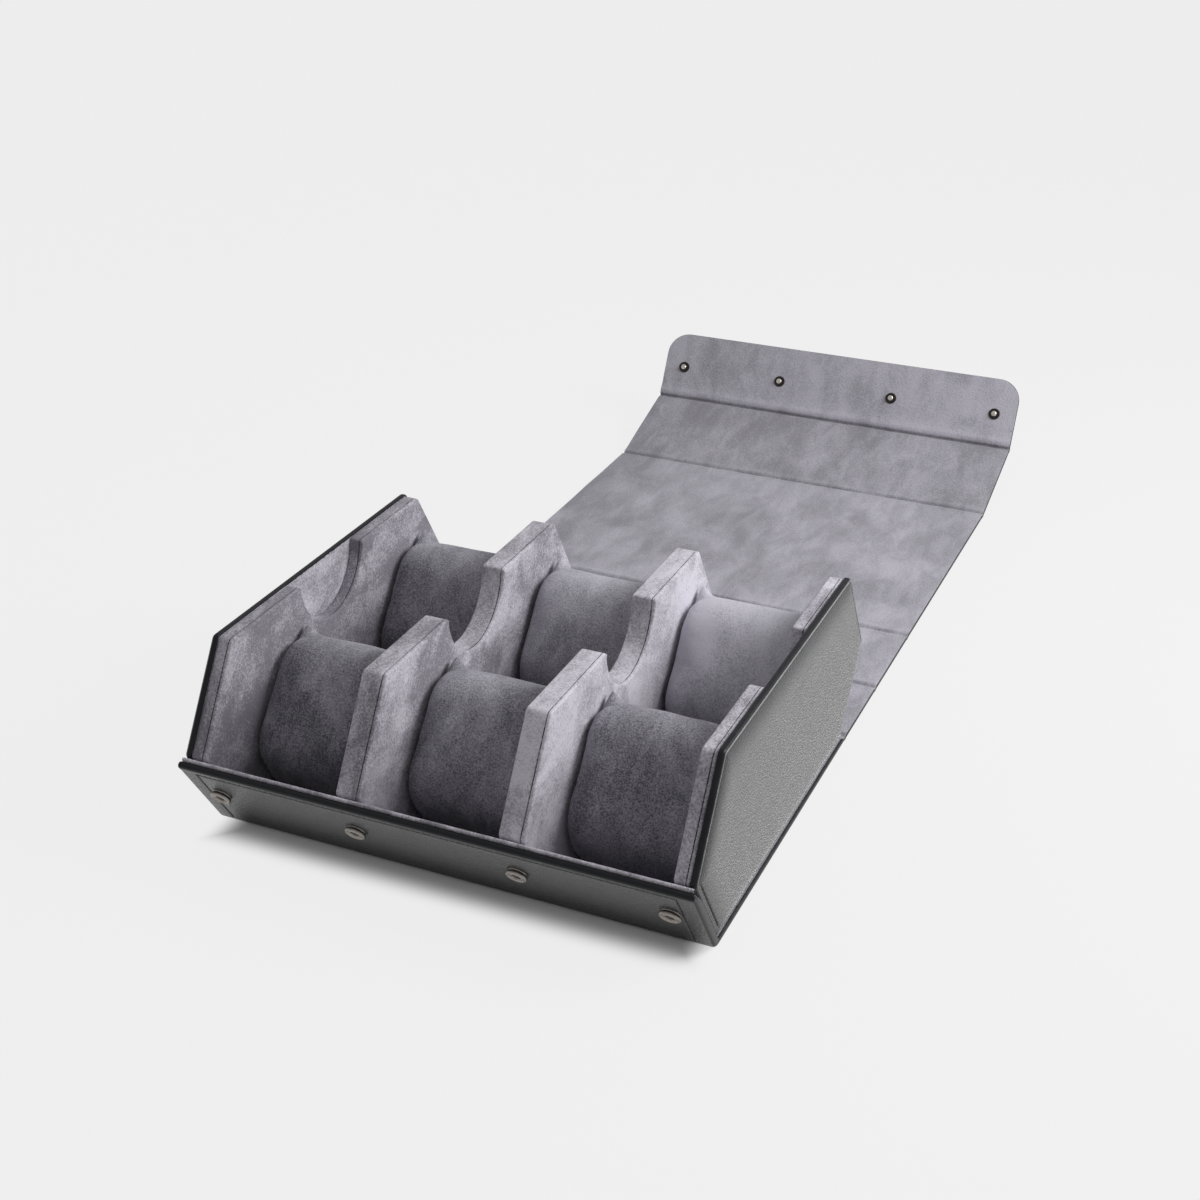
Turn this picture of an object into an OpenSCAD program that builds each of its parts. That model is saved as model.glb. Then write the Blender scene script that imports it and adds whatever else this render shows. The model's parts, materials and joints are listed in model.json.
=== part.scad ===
// Travel case for six watches, shown open.
// A hexagonal tray holds six cushions in two rows between suede covered dividers.
// One leather wrap makes the floor, the front lip and a five panel lid that ends in a snap flap.
// Origin: middle of the floor's underside. X runs across, Y to the back, Z up.

/* [Case] */
// Width over the two end panels
case_w = 235; // [200:1:280]
// Depth of an end panel where it stands on the floor
foot_d = 167; // [150:1:180]
// Depth of an end panel at its widest height
waist_d = 220; // [205:1:240]
// Depth of an end panel along its top edge
top_d = 164; // [150:1:180]
// Height of the widest point above the table
waist_z = 44.5; // [40:0.5:50]
// Height of the end panels above the table
top_z = 90; // [86:0.5:100]

/* [Wrap] */
// Thickness of the leather
leather_t = 1.2; // [0.8:0.1:1.6]
// Thickness of the stiffening board in the floor and the lid
board_t = 1.4; // [1:0.1:2]
// Thickness of the suede lining
lining_t = 0.8; // [0.6:0.1:1.2]
// Width of the leather turned up along the sides of the wrap
hem_t = 1; // [0.8:0.1:1.5]
// Room left around a fold on each side, where only leather crosses
crease = 1.8; // [1.7:0.1:3]
// Gap between the closed lid's lining and the end panels
lid_gap = 3.2; // [2:0.1:5]
// Angle of the front panel above the table, lid thrown back
front_rest = 16.6; // [0:0.2:30]
// Angle of the snap flap above the table, lid thrown back
flap_rest = 61.9; // [30:0.2:80]
// Length of the snap flap
flap_l = 43.5; // [38:0.5:46]
// Radius of the flap's two free corners
flap_r = 14; // [4:0.5:20]

/* [Front lip] */
// Thickness of the board in the lip
lip_board_t = 2; // [1:0.1:3]
// Thickness of the padded lining on the lip
lip_lining_t = 1.6; // [0.8:0.1:2.4]
// Gap between the lip and the end panels
lip_gap = 0.4; // [0.3:0.1:1]
// How far the lip rises past the widest point
lip_rise = 1; // [0:0.5:1.5]
// Outer radius of the bend from the floor to the lip
bend_r = 7; // [4:0.5:8]

/* [End panels] */
// Thickness of an end panel
end_t = 4; // [3.4:0.1:6]
// Radius of an end panel's corners
end_r = 3; // [1:0.5:6]

/* [Dividers] */
// Thickness of a divider that stands against an end panel
end_divider_t = 7; // [5:0.5:10]
// Thickness of a divider between two cushions
divider_t = 11.5; // [8:0.5:14]
// How far the dividers stay inside the end panels' outline
divider_inset = 0.8; // [0.4:0.1:3]
// Radius of the finger notch in the top of each divider
notch_r = 27; // [15:0.5:32]
// Thickness of the suede cover on a divider
cover_t = 1; // [0.6:0.1:1.5]

/* [Cushions] */
// Space between the case's widest point and the front cushions
front_space = 32.25; // [28:0.25:36]
// Space between the back cushions and the case's widest point
back_space = 22.25; // [16:0.25:30]
// Depth of a cushion
cushion_d = 57.5; // [50:0.5:64]
// Height of a cushion
cushion_h = 69; // [60:0.5:72]
// Radius of a cushion's long edges
cushion_r = 20; // [12:0.5:22]
// Depth of the sloped face at a cushion's front
slope_d = 17.5; // [8:0.5:20]
// Height of the sloped face at a cushion's front
slope_h = 21.5; // [10:0.5:26]
// How far a cushion's lower front edge stands back
toe_back = 4; // [0:0.5:8]
// Gap between a cushion's end and the divider
cushion_gap = 1; // [0.5:0.1:3]
// How much a cushion draws in from its middle to its ends
crown = 1.6; // [0:0.1:4]
// Radius of the round edge at a cushion's ends
end_round = 3; // [1:0.5:5]
// Height of the small corner ears at a cushion's top back edge
ear_h = 9; // [0:0.5:12]
// Width of an ear along the cushion
ear_w = 6; // [3:0.5:10]

/* [Snaps] */
// Distance of the outer snaps from the ends of the lip
snap_end_gap = 13.5; // [9:0.5:22]
// How far the inner snaps stand outside the dividers' middles
snap_divider_shift = 0; // [-8:0.5:20]
// Distance from the flap's fold to its studs
stud_y = 21.2; // [18:0.1:30]
// Diameter of a snap socket
socket_d = 9.6; // [8:0.1:12]
// Height of a snap socket
socket_h = 2.2; // [1.6:0.1:3]
// Diameter of the hole in a socket
socket_hole_d = 4.2; // [3.4:0.1:5]
// Thickness of the metal at the bottom of a socket
socket_floor_t = 0.4; // [0.3:0.1:0.6]
// Diameter of a stud's flange
flange_d = 7; // [6:0.1:9]
// Thickness of a stud's flange
flange_t = 0.6; // [0.4:0.1:1]
// Clearance between a stud's tip and its socket, all round
snap_clear = 0.35; // [0.2:0.05:0.6]
// Diameter of the shank under a stud
shank_d = 2.4; // [1.6:0.1:3]
// Diameter of the cap on the outside of the flap
cap_d = 11; // [8:0.5:14]
// Thickness of the cap on the outside of the flap
cap_t = 1.4; // [1:0.1:2]
// Diameter of the rivet's shank behind a socket
rivet_d = 3.6; // [2.4:0.1:4.4]
// Diameter of the rivet's head behind a socket
rivet_head_d = 8; // [6:0.5:10]
// Thickness of the rivet's head behind a socket
rivet_head_t = 0.6; // [0.4:0.1:0.8]

/* [Hidden] */
$fn = 48;

LEATHER = "#2c2d30";
SUEDE = "#9d9aa6";
CUSHION = "#7d7a86";
BOARD = "#b08d62";
METAL = "#b7b1a6";

// Sections are drawn as [y, z] and pushed along X
floor_z = leather_t + board_t + lining_t;
fold_z = leather_t;
foot = [foot_d / 2, floor_z];
waist = [waist_d / 2, waist_z];
shoulder = [top_d / 2, top_z];

// Slopes of the end panels' back edges, as angles from +Y
lower_a = heading(waist - foot);
upper_a = heading(shoulder - waist);

// The folds lie on the leather's inner face, this far outside the end panels
lid_out = lid_gap + lining_t + board_t;
lip_out = lip_gap + lip_lining_t + lip_board_t + leather_t;
flap_out = lip_out + socket_h + flange_t + snap_clear / 2 + lining_t + board_t;

// Places of the five folds with the lid shut: back foot, back waist, back top, front top, front waist
back_foot_fold = meet([0, fold_z], 0, foot + lid_out * outward(lower_a), lower_a);
back_waist_fold = meet(foot + lid_out * outward(lower_a), lower_a, waist + lid_out * outward(upper_a), upper_a);
back_top_fold = meet(waist + lid_out * outward(upper_a), upper_a, shoulder + [0, lid_out], 180);
front_top_fold = [-back_top_fold[0], back_top_fold[1]];
front_waist_fold = meet(
    flip(foot + flap_out * outward(lower_a)), 180 - lower_a,
    flip(waist + lid_out * outward(upper_a)), 180 - upper_a
);

// Lengths of the lid's panels from fold to fold
back_lower_l = norm(back_waist_fold - back_foot_fold);
back_upper_l = norm(back_top_fold - back_waist_fold);
top_l = norm(front_top_fold - back_top_fold);
front_upper_l = norm(front_waist_fold - front_top_fold);

// Places of the folds with the lid thrown back on the table
fold_1 = back_foot_fold;
fold_2 = fold_1 + back_lower_l * [1, 0];
fold_3 = fold_2 + back_upper_l * [1, 0];
fold_4 = fold_3 + top_l * [1, 0];
fold_5 = fold_4 + front_upper_l * [cos(front_rest), sin(front_rest)];

// The lip's own frame: u points out of the case, v runs up the lip
lip_out_dir = flip(outward(lower_a));
lip_up_dir = flip([cos(lower_a), sin(lower_a)]);
lip_foot = flip(foot);
lip_l = norm(waist - foot) + lip_rise;
socket_v = (front_waist_fold - lip_foot) * lip_up_dir - stud_y;

// Cells between the dividers
inner_w = case_w - 2 * end_t - 2 * end_divider_t;
cell_w = (inner_w - 2 * divider_t) / 3;
divider_x = cell_w / 2 + divider_t / 2;
end_divider_x = inner_w / 2 + end_divider_t / 2;
cell_pitch = cell_w + divider_t;
notch_z = top_z;

// Cushions stand just clear of the floor, in two rows
cushion_l = cell_w - 2 * cushion_gap;
seat_gap = 0.3;
front_row_y = -waist[0] + front_space + cushion_d / 2;
back_row_y = waist[0] - back_space - cushion_d / 2;

// An outer snap near each end of the lip and an inner one in line with each divider
snap_outer_x = case_w / 2 - snap_end_gap;
snap_inner_x = divider_x + snap_divider_shift;
snap_xs = [-snap_outer_x, -snap_inner_x, snap_inner_x, snap_outer_x];
stud_tip_l = socket_h - socket_floor_t - snap_clear / 2;

// Hair gap between the leather of two panels at a fold
fold_room = 0.05;
// Height on the lip where its board and lining start, above the bend
lip_start = 3.6;
// Smallest radius left on an inner outline's corners
least_r = 0.5;
// How far a cut runs past the surface that it opens
past = 1;
// How much slimmer a stud is at its neck than at its tip
stud_neck = 0.2;
// How far a stud's tip is rounded off
stud_round = 0.4;
// Share of a cap's thickness that is left at its rim
cap_rim = 0.25;

// Steps in the rounded shapes that are drawn as short straight sides
bend_steps = 8;
lip_top_steps = 4;
cap_steps = 4;
cushion_sides = 32;
cushion_rings = 17;

// Direction and spread of a cushion's ear, as angles round its section
ear_a = 55;
ear_spread = 18;

function heading(v) = atan2(v[1], v[0]);
function outward(a) = [sin(a), -cos(a)];
function flip(p) = [-p[0], p[1]];
function meet(p, a, q, b) =
    let (n = [-sin(b), cos(b)], t = ((q - p) * n) / ([cos(a), sin(a)] * n))
    p + t * [cos(a), sin(a)];
function lip_point(u, v) = lip_foot + u * lip_out_dir + v * lip_up_dir;
function bend_dir(k) = -[sin(lower_a * k / bend_steps), cos(lower_a * k / bend_steps)];

// Outline of an end panel, drawn in by a distance, with its foot at a given height
function panel_side(inset, foot_z) =
    let (
        in_lower = foot - inset * outward(lower_a),
        in_upper = waist - inset * outward(upper_a)
    )
    [
        meet(in_lower, lower_a, [0, foot_z], 0),
        meet(in_lower, lower_a, in_upper, upper_a),
        meet(in_upper, upper_a, [0, top_z - inset], 0)
    ];
function panel_outline(inset, foot_z) =
    let (s = panel_side(inset, foot_z))
    [s[0], s[1], s[2], flip(s[2]), flip(s[1]), flip(s[0])];

// Rounds each corner of a convex outline that runs anticlockwise
function rounded(points, r, steps = 6) = [
    for (i = [0 : len(points) - 1])
        let (
            p = points[i],
            a_in = heading(p - points[(i + len(points) - 1) % len(points)]),
            a_out = heading(points[(i + 1) % len(points)] - p),
            turn = (a_out - a_in + 720) % 360,
            back = r * tan(turn / 2),
            c = p - back * [cos(a_in), sin(a_in)] + r * [-sin(a_in), cos(a_in)]
        )
        for (k = [0 : steps]) c + r * outward(a_in + turn * k / steps)
];

// A section pushed along X between two places
module across(x0, x1) {
    translate([x0, 0, 0])
        rotate([90, 0, 90])
            linear_extrude(x1 - x0)
                children();
}

// Puts a part drawn on the lip's face in place: local Z points out of the lip
module on_lip(x, u) {
    p = lip_point(u, socket_v);
    translate([x, p[0], p[1]])
        rotate([180 - lower_a, 0, 0])
            children();
}

// Puts a panel that starts at a fold in place: local Y runs along the panel
module at_fold(fold, a) {
    translate([0, fold[0], fold[1]])
        rotate([a, 0, 0])
            children();
}

// The wrap's outer leather under the floor, round the bend and up the lip
module tray_section() {
    corner = meet([0, 0], 0, lip_point(lip_out, 0), 180 - lower_a);
    reach = bend_r * tan(lower_a / 2);
    centre = [corner[0] + reach, bend_r];
    outer_bend = [for (k = [0 : bend_steps]) centre + bend_r * bend_dir(k)];
    inner_bend = [for (k = [bend_steps : -1 : 0]) centre + (bend_r - leather_t) * bend_dir(k)];
    lip_inner = lip_out - leather_t;
    cap_u = lip_gap + lip_lining_t;
    top_round = [
        for (k = [0 : lip_top_steps])
            let (a = 90 * k / lip_top_steps)
            lip_point(lip_inner, lip_l - leather_t) + leather_t * (cos(a) * lip_out_dir + sin(a) * lip_up_dir)
    ];
    polygon(concat(
        [[fold_1[0] - fold_room, 0]],
        outer_bend,
        top_round,
        [lip_point(cap_u, lip_l), lip_point(cap_u, lip_l - leather_t), lip_point(lip_inner, lip_l - leather_t)],
        inner_bend,
        [[fold_1[0] - fold_room, fold_z]]
    ));
}

// The leather turned in over the two ends of the lip
module lip_end_section() {
    polygon([
        lip_point(lip_gap, lip_start),
        lip_point(lip_out - leather_t / 2, lip_start),
        lip_point(lip_out - leather_t / 2, lip_l - leather_t / 2),
        lip_point(lip_gap, lip_l - leather_t / 2)
    ]);
}

module tray_leather() {
    half = case_w / 2;
    color(LEATHER)
        difference() {
            union() {
                across(-half, half) tray_section();
                for (s = [-1, 1]) {
                    across(s > 0 ? half - leather_t : -half, s > 0 ? half : -half + leather_t)
                        lip_end_section();
                    translate([s > 0 ? half - hem_t : -half, -foot[0], fold_z])
                        cube([hem_t, foot[0] + fold_1[0] - crease, board_t + lining_t]);
                }
            }
            for (x = snap_xs)
                on_lip(x, lip_out)
                    cylinder(d = rivet_d, h = 4 * leather_t, center = true);
        }
}

module floor_sheet(z, t) {
    w = case_w - 2 * hem_t;
    translate([-w / 2, -foot[0], z])
        cube([w, foot[0] + fold_1[0] - crease, t]);
}

module floor_board() {
    color(BOARD) floor_sheet(fold_z, board_t);
}

module floor_lining() {
    color(SUEDE) floor_sheet(fold_z + board_t, lining_t);
}

module lip_sheet(u0, u1, v1) {
    half = case_w / 2 - leather_t;
    across(-half, half)
        polygon([lip_point(u0, lip_start), lip_point(u1, lip_start), lip_point(u1, v1), lip_point(u0, v1)]);
}

module lip_board() {
    u0 = lip_gap + lip_lining_t;
    color(BOARD)
        difference() {
            lip_sheet(u0, u0 + lip_board_t, lip_l - leather_t);
            for (x = snap_xs) {
                on_lip(x, u0)
                    cylinder(d = rivet_d, h = 3 * lip_board_t, center = true);
                on_lip(x, u0)
                    cylinder(d = rivet_head_d, h = 2 * rivet_head_t, center = true);
            }
        }
}

module lip_lining() {
    color(SUEDE) lip_sheet(lip_gap, lip_gap + lip_lining_t, lip_l - lip_gap);
}

// A rivet holds each socket through the lip's board and leather
module socket_rivets() {
    u0 = lip_gap + lip_lining_t;
    color(METAL)
        for (x = snap_xs)
            on_lip(x, u0) {
                cylinder(d = rivet_head_d, h = rivet_head_t);
                cylinder(d = rivet_d, h = lip_board_t + leather_t);
            }
}

module snap_sockets() {
    edge = socket_h / 3;
    color(METAL)
        for (x = snap_xs)
            on_lip(x, lip_out)
                rotate_extrude()
                    polygon([
                        [0, 0],
                        [socket_d / 2 - edge / 2, 0],
                        [socket_d / 2, edge / 2],
                        [socket_d / 2, socket_h - edge],
                        [socket_d / 2 - edge, socket_h],
                        [socket_hole_d / 2, socket_h],
                        [socket_hole_d / 2, socket_floor_t],
                        [0, socket_floor_t]
                    ]);
}

// An end panel stands with its leather face out, side is -1 for left and 1 for right
module end_slice(side, depth0, depth1) {
    outer = side * case_w / 2;
    a = outer - side * depth0;
    b = outer - side * depth1;
    across(min(a, b), max(a, b)) children();
}

module end_outline(inset) {
    polygon(rounded(panel_outline(inset, floor_z + inset), max(end_r - inset, least_r)));
}

module end_leather(side) {
    color(LEATHER)
        difference() {
            end_slice(side, 0, end_t) end_outline(0);
            end_slice(side, leather_t, end_t + past) end_outline(leather_t);
        }
}

module end_board(side) {
    color(BOARD) end_slice(side, leather_t, end_t - lining_t) end_outline(leather_t);
}

module end_lining(side) {
    color(SUEDE) end_slice(side, end_t - lining_t, end_t) end_outline(leather_t);
}

module left_end_leather() { end_leather(-1); }
module left_end_board() { end_board(-1); }
module left_end_lining() { end_lining(-1); }
module right_end_leather() { end_leather(1); }
module right_end_board() { end_board(1); }
module right_end_lining() { end_lining(1); }

// A divider is a notched board in a suede cover that is open where it stands on the floor
module divider_outline(inset, foot_z) {
    difference() {
        polygon(panel_outline(divider_inset + inset, foot_z));
        translate([0, notch_z]) circle(r = notch_r + inset);
    }
}

module divider_cover(x, t) {
    color(SUEDE)
        difference() {
            across(x - t / 2, x + t / 2) divider_outline(0, floor_z);
            across(x - t / 2 + cover_t, x + t / 2 - cover_t) divider_outline(cover_t, floor_z - past);
        }
}

module divider_core(x, t) {
    color(BOARD)
        across(x - t / 2 + cover_t, x + t / 2 - cover_t) divider_outline(cover_t, floor_z);
}

module left_end_divider_cover() { divider_cover(-end_divider_x, end_divider_t); }
module left_end_divider_core() { divider_core(-end_divider_x, end_divider_t); }
module left_divider_cover() { divider_cover(-divider_x, divider_t); }
module left_divider_core() { divider_core(-divider_x, divider_t); }
module right_divider_cover() { divider_cover(divider_x, divider_t); }
module right_divider_core() { divider_core(divider_x, divider_t); }
module right_end_divider_cover() { divider_cover(end_divider_x, end_divider_t); }
module right_end_divider_core() { divider_core(end_divider_x, end_divider_t); }

// A lid panel's leather is a flat sheet with its two sides turned up round the board
module panel_leather(l) {
    color(LEATHER) {
        translate([-case_w / 2, 0, -leather_t])
            cube([case_w, l - fold_room, leather_t]);
        for (x = [-case_w / 2, case_w / 2 - hem_t])
            translate([x, crease, -leather_t / 2])
                cube([hem_t, l - 2 * crease, leather_t / 2 + board_t + lining_t]);
    }
}

module panel_sheet(l, z, t) {
    w = case_w - 2 * hem_t;
    translate([-w / 2, crease, z])
        cube([w, l - 2 * crease, t]);
}

module panel_board(l) { color(BOARD) panel_sheet(l, 0, board_t); }
module panel_lining(l) { color(SUEDE) panel_sheet(l, board_t, lining_t); }

module back_lower_leather() { at_fold(fold_1, 0) panel_leather(back_lower_l); }
module back_lower_board() { at_fold(fold_1, 0) panel_board(back_lower_l); }
module back_lower_lining() { at_fold(fold_1, 0) panel_lining(back_lower_l); }
module back_upper_leather() { at_fold(fold_2, 0) panel_leather(back_upper_l); }
module back_upper_board() { at_fold(fold_2, 0) panel_board(back_upper_l); }
module back_upper_lining() { at_fold(fold_2, 0) panel_lining(back_upper_l); }
module top_leather() { at_fold(fold_3, 0) panel_leather(top_l); }
module top_board() { at_fold(fold_3, 0) panel_board(top_l); }
module top_lining() { at_fold(fold_3, 0) panel_lining(top_l); }
module front_upper_leather() { at_fold(fold_4, front_rest) panel_leather(front_upper_l); }
module front_upper_board() { at_fold(fold_4, front_rest) panel_board(front_upper_l); }
module front_upper_lining() { at_fold(fold_4, front_rest) panel_lining(front_upper_l); }

// The snap flap, drawn from its fold with two round corners at its free edge
module flap_outline(inset, start) {
    w = case_w - 2 * inset;
    l = flap_l - inset;
    r = flap_r - inset;
    translate([-w / 2, start]) square([w, l - r - start]);
    translate([-w / 2 + r, start]) square([w - 2 * r, l - start]);
    for (x = [-w / 2 + r, w / 2 - r])
        translate([x, l - r]) circle(r = r);
}

module flap_holes(d) {
    for (x = snap_xs)
        translate([x, stud_y, 0])
            cylinder(d = d, h = 4 * floor_z, center = true);
}

module flap_leather() {
    color(LEATHER)
        at_fold(fold_5, flap_rest)
            difference() {
                union() {
                    translate([0, 0, -leather_t])
                        linear_extrude(leather_t) flap_outline(0, 0);
                    translate([0, 0, -leather_t / 2])
                        linear_extrude(leather_t / 2 + board_t + lining_t)
                            difference() {
                                flap_outline(0, crease);
                                flap_outline(hem_t, crease - past);
                            }
                }
                flap_holes(shank_d);
            }
}

module flap_sheet(z, t) {
    at_fold(fold_5, flap_rest)
        difference() {
            translate([0, 0, z])
                linear_extrude(t) flap_outline(hem_t, crease);
            flap_holes(shank_d);
        }
}

module flap_board() { color(BOARD) flap_sheet(0, board_t); }
module flap_lining() { color(SUEDE) flap_sheet(board_t, lining_t); }

module snap_studs() {
    tip_d = socket_hole_d - 2 * snap_clear;
    stack = board_t + lining_t;
    color(METAL)
        at_fold(fold_5, flap_rest)
            for (x = snap_xs)
                translate([x, stud_y, stack])
                    rotate_extrude()
                        polygon([
                            [0, -stack - leather_t],
                            [shank_d / 2, -stack - leather_t],
                            [shank_d / 2, 0],
                            [flange_d / 2, 0],
                            [flange_d / 2, flange_t / 2],
                            [flange_d / 2 - flange_t / 2, flange_t],
                            [tip_d / 2 - stud_neck, flange_t],
                            [tip_d / 2, flange_t + stud_tip_l / 2],
                            [tip_d / 2 - stud_round, flange_t + stud_tip_l - stud_round / 2],
                            [tip_d / 2 - 2 * stud_round, flange_t + stud_tip_l],
                            [0, flange_t + stud_tip_l]
                        ]);
}

module snap_caps() {
    color(METAL)
        at_fold(fold_5, flap_rest)
            for (x = snap_xs)
                translate([x, stud_y, -leather_t])
                    rotate_extrude()
                        polygon(concat(
                            [[0, 0]],
                            [
                                for (k = [0 : cap_steps])
                                    let (a = 90 * k / cap_steps)
                                    [cap_d / 2 * sin(a), -cap_t * (cap_rim + (1 - cap_rim) * cos(a))]
                            ],
                            [[cap_d / 2, 0]]
                        ));
}

// Section of a cushion: a block with long round edges whose upper front is cut to a slope
function cushion_cores() =
    let (a = cushion_d / 2 - cushion_r, z0 = cushion_r, z1 = cushion_h - cushion_r)
    [
        [a, z0],
        [a, z1],
        [a - slope_d, z1 - slope_h],
        [a - slope_d + toe_back, z0]
    ];
function furthest(points, n, i = 1, best = 0) =
    i == len(points) ? points[best]
    : furthest(points, n, i + 1, points[i] * n > points[best] * n ? i : best);

// How far the skin is drawn in at a distance from the cushion's middle
function drawn_in(x) =
    let (
        share = 2 * x / cushion_l,
        edge = max(0, abs(x) - (cushion_l / 2 - end_round)) / end_round
    )
    crown * pow(share, 4) + end_round * (1 - sqrt(max(0, 1 - edge * edge)));

// Extra reach of the corner ear in a direction and at a place along the cushion
function ear(a, x) =
    let (
        round_about = max(0, 1 - abs(a - ear_a) / ear_spread),
        along = max(0, 1 - (cushion_l / 2 - abs(x)) / ear_w)
    )
    ear_h * round_about * along;
function cushion_point(a, x) =
    let (n = [cos(a), sin(a)], p = furthest(cushion_cores(), n) + (cushion_r - drawn_in(x) + ear(a, x)) * n)
    [x, p[0], p[1]];
function ring_x(i) = cushion_l / 2 * sin(-90 + 180 * i / (cushion_rings - 1));

module cushion(column, row_y) {
    n = cushion_sides;
    last = cushion_rings - 1;
    skin = [
        for (i = [0 : last])
            for (k = [0 : n - 1])
                cushion_point(360 * (k + 0.5) / n, ring_x(i))
    ];
    ends = [[-cushion_l / 2, 0, cushion_h / 2], [cushion_l / 2, 0, cushion_h / 2]];
    sides = [
        for (i = [0 : last - 1])
            for (k = [0 : n - 1])
                let (a = i * n + k, b = i * n + (k + 1) % n)
                for (f = [[a, b + n, b], [a, a + n, b + n]]) f
    ];
    caps = [
        for (k = [0 : n - 1])
            for (f = [
                [len(skin), k, (k + 1) % n],
                [len(skin) + 1, last * n + (k + 1) % n, last * n + k]
            ]) f
    ];
    color(CUSHION)
        translate([column * cell_pitch, row_y, floor_z + seat_gap])
            polyhedron(points = concat(skin, ends), faces = concat(sides, caps), convexity = 4);
}

module cushion_front_left() { cushion(-1, front_row_y); }
module cushion_front_middle() { cushion(0, front_row_y); }
module cushion_front_right() { cushion(1, front_row_y); }
module cushion_back_left() { cushion(-1, back_row_y); }
module cushion_back_middle() { cushion(0, back_row_y); }
module cushion_back_right() { cushion(1, back_row_y); }

tray_leather();
floor_board();
floor_lining();
lip_board();
lip_lining();
left_end_leather();
left_end_board();
left_end_lining();
right_end_leather();
right_end_board();
right_end_lining();
left_end_divider_cover();
left_end_divider_core();
left_divider_cover();
left_divider_core();
right_divider_cover();
right_divider_core();
right_end_divider_cover();
right_end_divider_core();
snap_sockets();
socket_rivets();
back_lower_leather();
back_lower_board();
back_lower_lining();
back_upper_leather();
back_upper_board();
back_upper_lining();
top_leather();
top_board();
top_lining();
front_upper_leather();
front_upper_board();
front_upper_lining();
flap_leather();
flap_board();
flap_lining();
snap_studs();
snap_caps();
cushion_front_left();
cushion_front_middle();
cushion_front_right();
cushion_back_left();
cushion_back_middle();
cushion_back_right();
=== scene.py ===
"""Looks of a folding travel case with six cushions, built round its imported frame.

The case is a hexagonal tray with suede dividers and lift-out cushions, held in one leather wrap
that makes the floor, the front lip and a folding lid with a snap flap. Lengths are in metres.
"""

import json
import logging
import math
from contextlib import contextmanager
from dataclasses import dataclass, field
from enum import Enum
from typing import Callable, Iterable, Iterator, Self, Sequence

import bmesh
import bpy
import numpy as np
from mathutils import Matrix, Vector

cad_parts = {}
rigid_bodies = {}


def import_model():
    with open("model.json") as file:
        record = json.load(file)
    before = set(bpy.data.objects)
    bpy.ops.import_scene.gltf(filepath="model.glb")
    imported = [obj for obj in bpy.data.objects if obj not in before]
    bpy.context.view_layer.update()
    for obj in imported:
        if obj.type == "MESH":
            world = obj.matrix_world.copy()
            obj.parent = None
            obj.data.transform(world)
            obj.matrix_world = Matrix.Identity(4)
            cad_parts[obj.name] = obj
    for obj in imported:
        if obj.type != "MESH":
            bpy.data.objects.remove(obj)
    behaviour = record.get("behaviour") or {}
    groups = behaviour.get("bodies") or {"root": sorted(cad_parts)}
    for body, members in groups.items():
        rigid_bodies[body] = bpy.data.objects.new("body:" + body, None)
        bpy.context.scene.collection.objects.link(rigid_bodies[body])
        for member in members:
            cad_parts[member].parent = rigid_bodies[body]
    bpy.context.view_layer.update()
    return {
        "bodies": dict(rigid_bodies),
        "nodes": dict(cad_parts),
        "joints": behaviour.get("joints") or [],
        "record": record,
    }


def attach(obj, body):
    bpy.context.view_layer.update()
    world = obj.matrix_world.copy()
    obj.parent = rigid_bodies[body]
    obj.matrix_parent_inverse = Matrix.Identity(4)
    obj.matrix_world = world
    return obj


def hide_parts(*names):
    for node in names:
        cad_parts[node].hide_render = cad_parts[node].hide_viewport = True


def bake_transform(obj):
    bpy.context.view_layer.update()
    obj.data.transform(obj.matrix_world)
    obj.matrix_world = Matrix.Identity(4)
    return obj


MM = 0.001
SEAM_STEPS = np.array([-0.9, -0.6, -0.3, 0, 0.3, 0.6, 0.9]) * MM
log = logging.getLogger("travel_case")

Array = np.ndarray
Pair = tuple[float, float]
Colour = tuple[float, float, float]
Material = bpy.types.Material
Socket = bpy.types.NodeSocket
Laying = Callable[[Array, Array], Array]


class Side(Enum):
    """Which end of the case a piece belongs to."""

    LEFT = -1
    RIGHT = 1

    @property
    def word(self) -> str:
        """The side's name as it stands in piece names."""
        return self.name.lower()


class Pick(Enum):
    """What an operator acts on in edit mode."""

    POINTS = "VERT"
    EDGES = "EDGE"
    FACES = "FACE"


# The case's own measures


def smooth(share: Array) -> Array:
    """Eases a share from 0 to 1."""
    t = np.clip(share, 0.0, 1.0)
    return t * t * (3 - 2 * t)


def bell(distance: Array, width: float) -> Array:
    """A soft bump of height 1 that fades over a width."""
    return np.exp(-((distance / width) ** 2))


def turned(y: Array, z: Array, centre: Pair, angle: Array) -> tuple[Array, Array]:
    """Turns points of the side view round a centre.

    Args:
        y: places to the back.
        z: heights.
        centre: the point that stays, as (y, z).
        angle: the turn of each point, from the back upwards.

    Returns:
        The turned places and heights.
    """
    c, s = np.cos(angle), np.sin(angle)
    dy, dz = y - centre[0], z - centre[1]
    return centre[0] + c * dy - s * dz, centre[1] + s * dy + c * dz


def ripple(x: Array, y: Array, seed: int, length: float, waves: int = 9) -> Array:
    """A gentle uneven surface as a sum of waves, the same each run.

    Args:
        x: places across.
        y: places along.
        seed: picks the waves.
        length: the usual length of a wave.
        waves: how many waves are added.

    Returns:
        Heights of about -1 to 1.
    """
    random = np.random.default_rng(seed)
    height = np.zeros_like(x)
    for _ in range(waves):
        angle, phase = random.uniform(0, math.pi), random.uniform(0, 2 * math.pi)
        k = 2 * math.pi / (length * random.uniform(0.6, 1.7))
        height += np.sin(k * (x * math.cos(angle) + y * math.sin(angle)) + phase)
    return height / math.sqrt(waves) * 0.7


def crease_path(x: Array) -> Array:
    """How far the pressed creases wander off the folds, by places across."""
    return ripple(x, x * 0, 21, 42 * MM, 5) * 0.5 * MM


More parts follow.
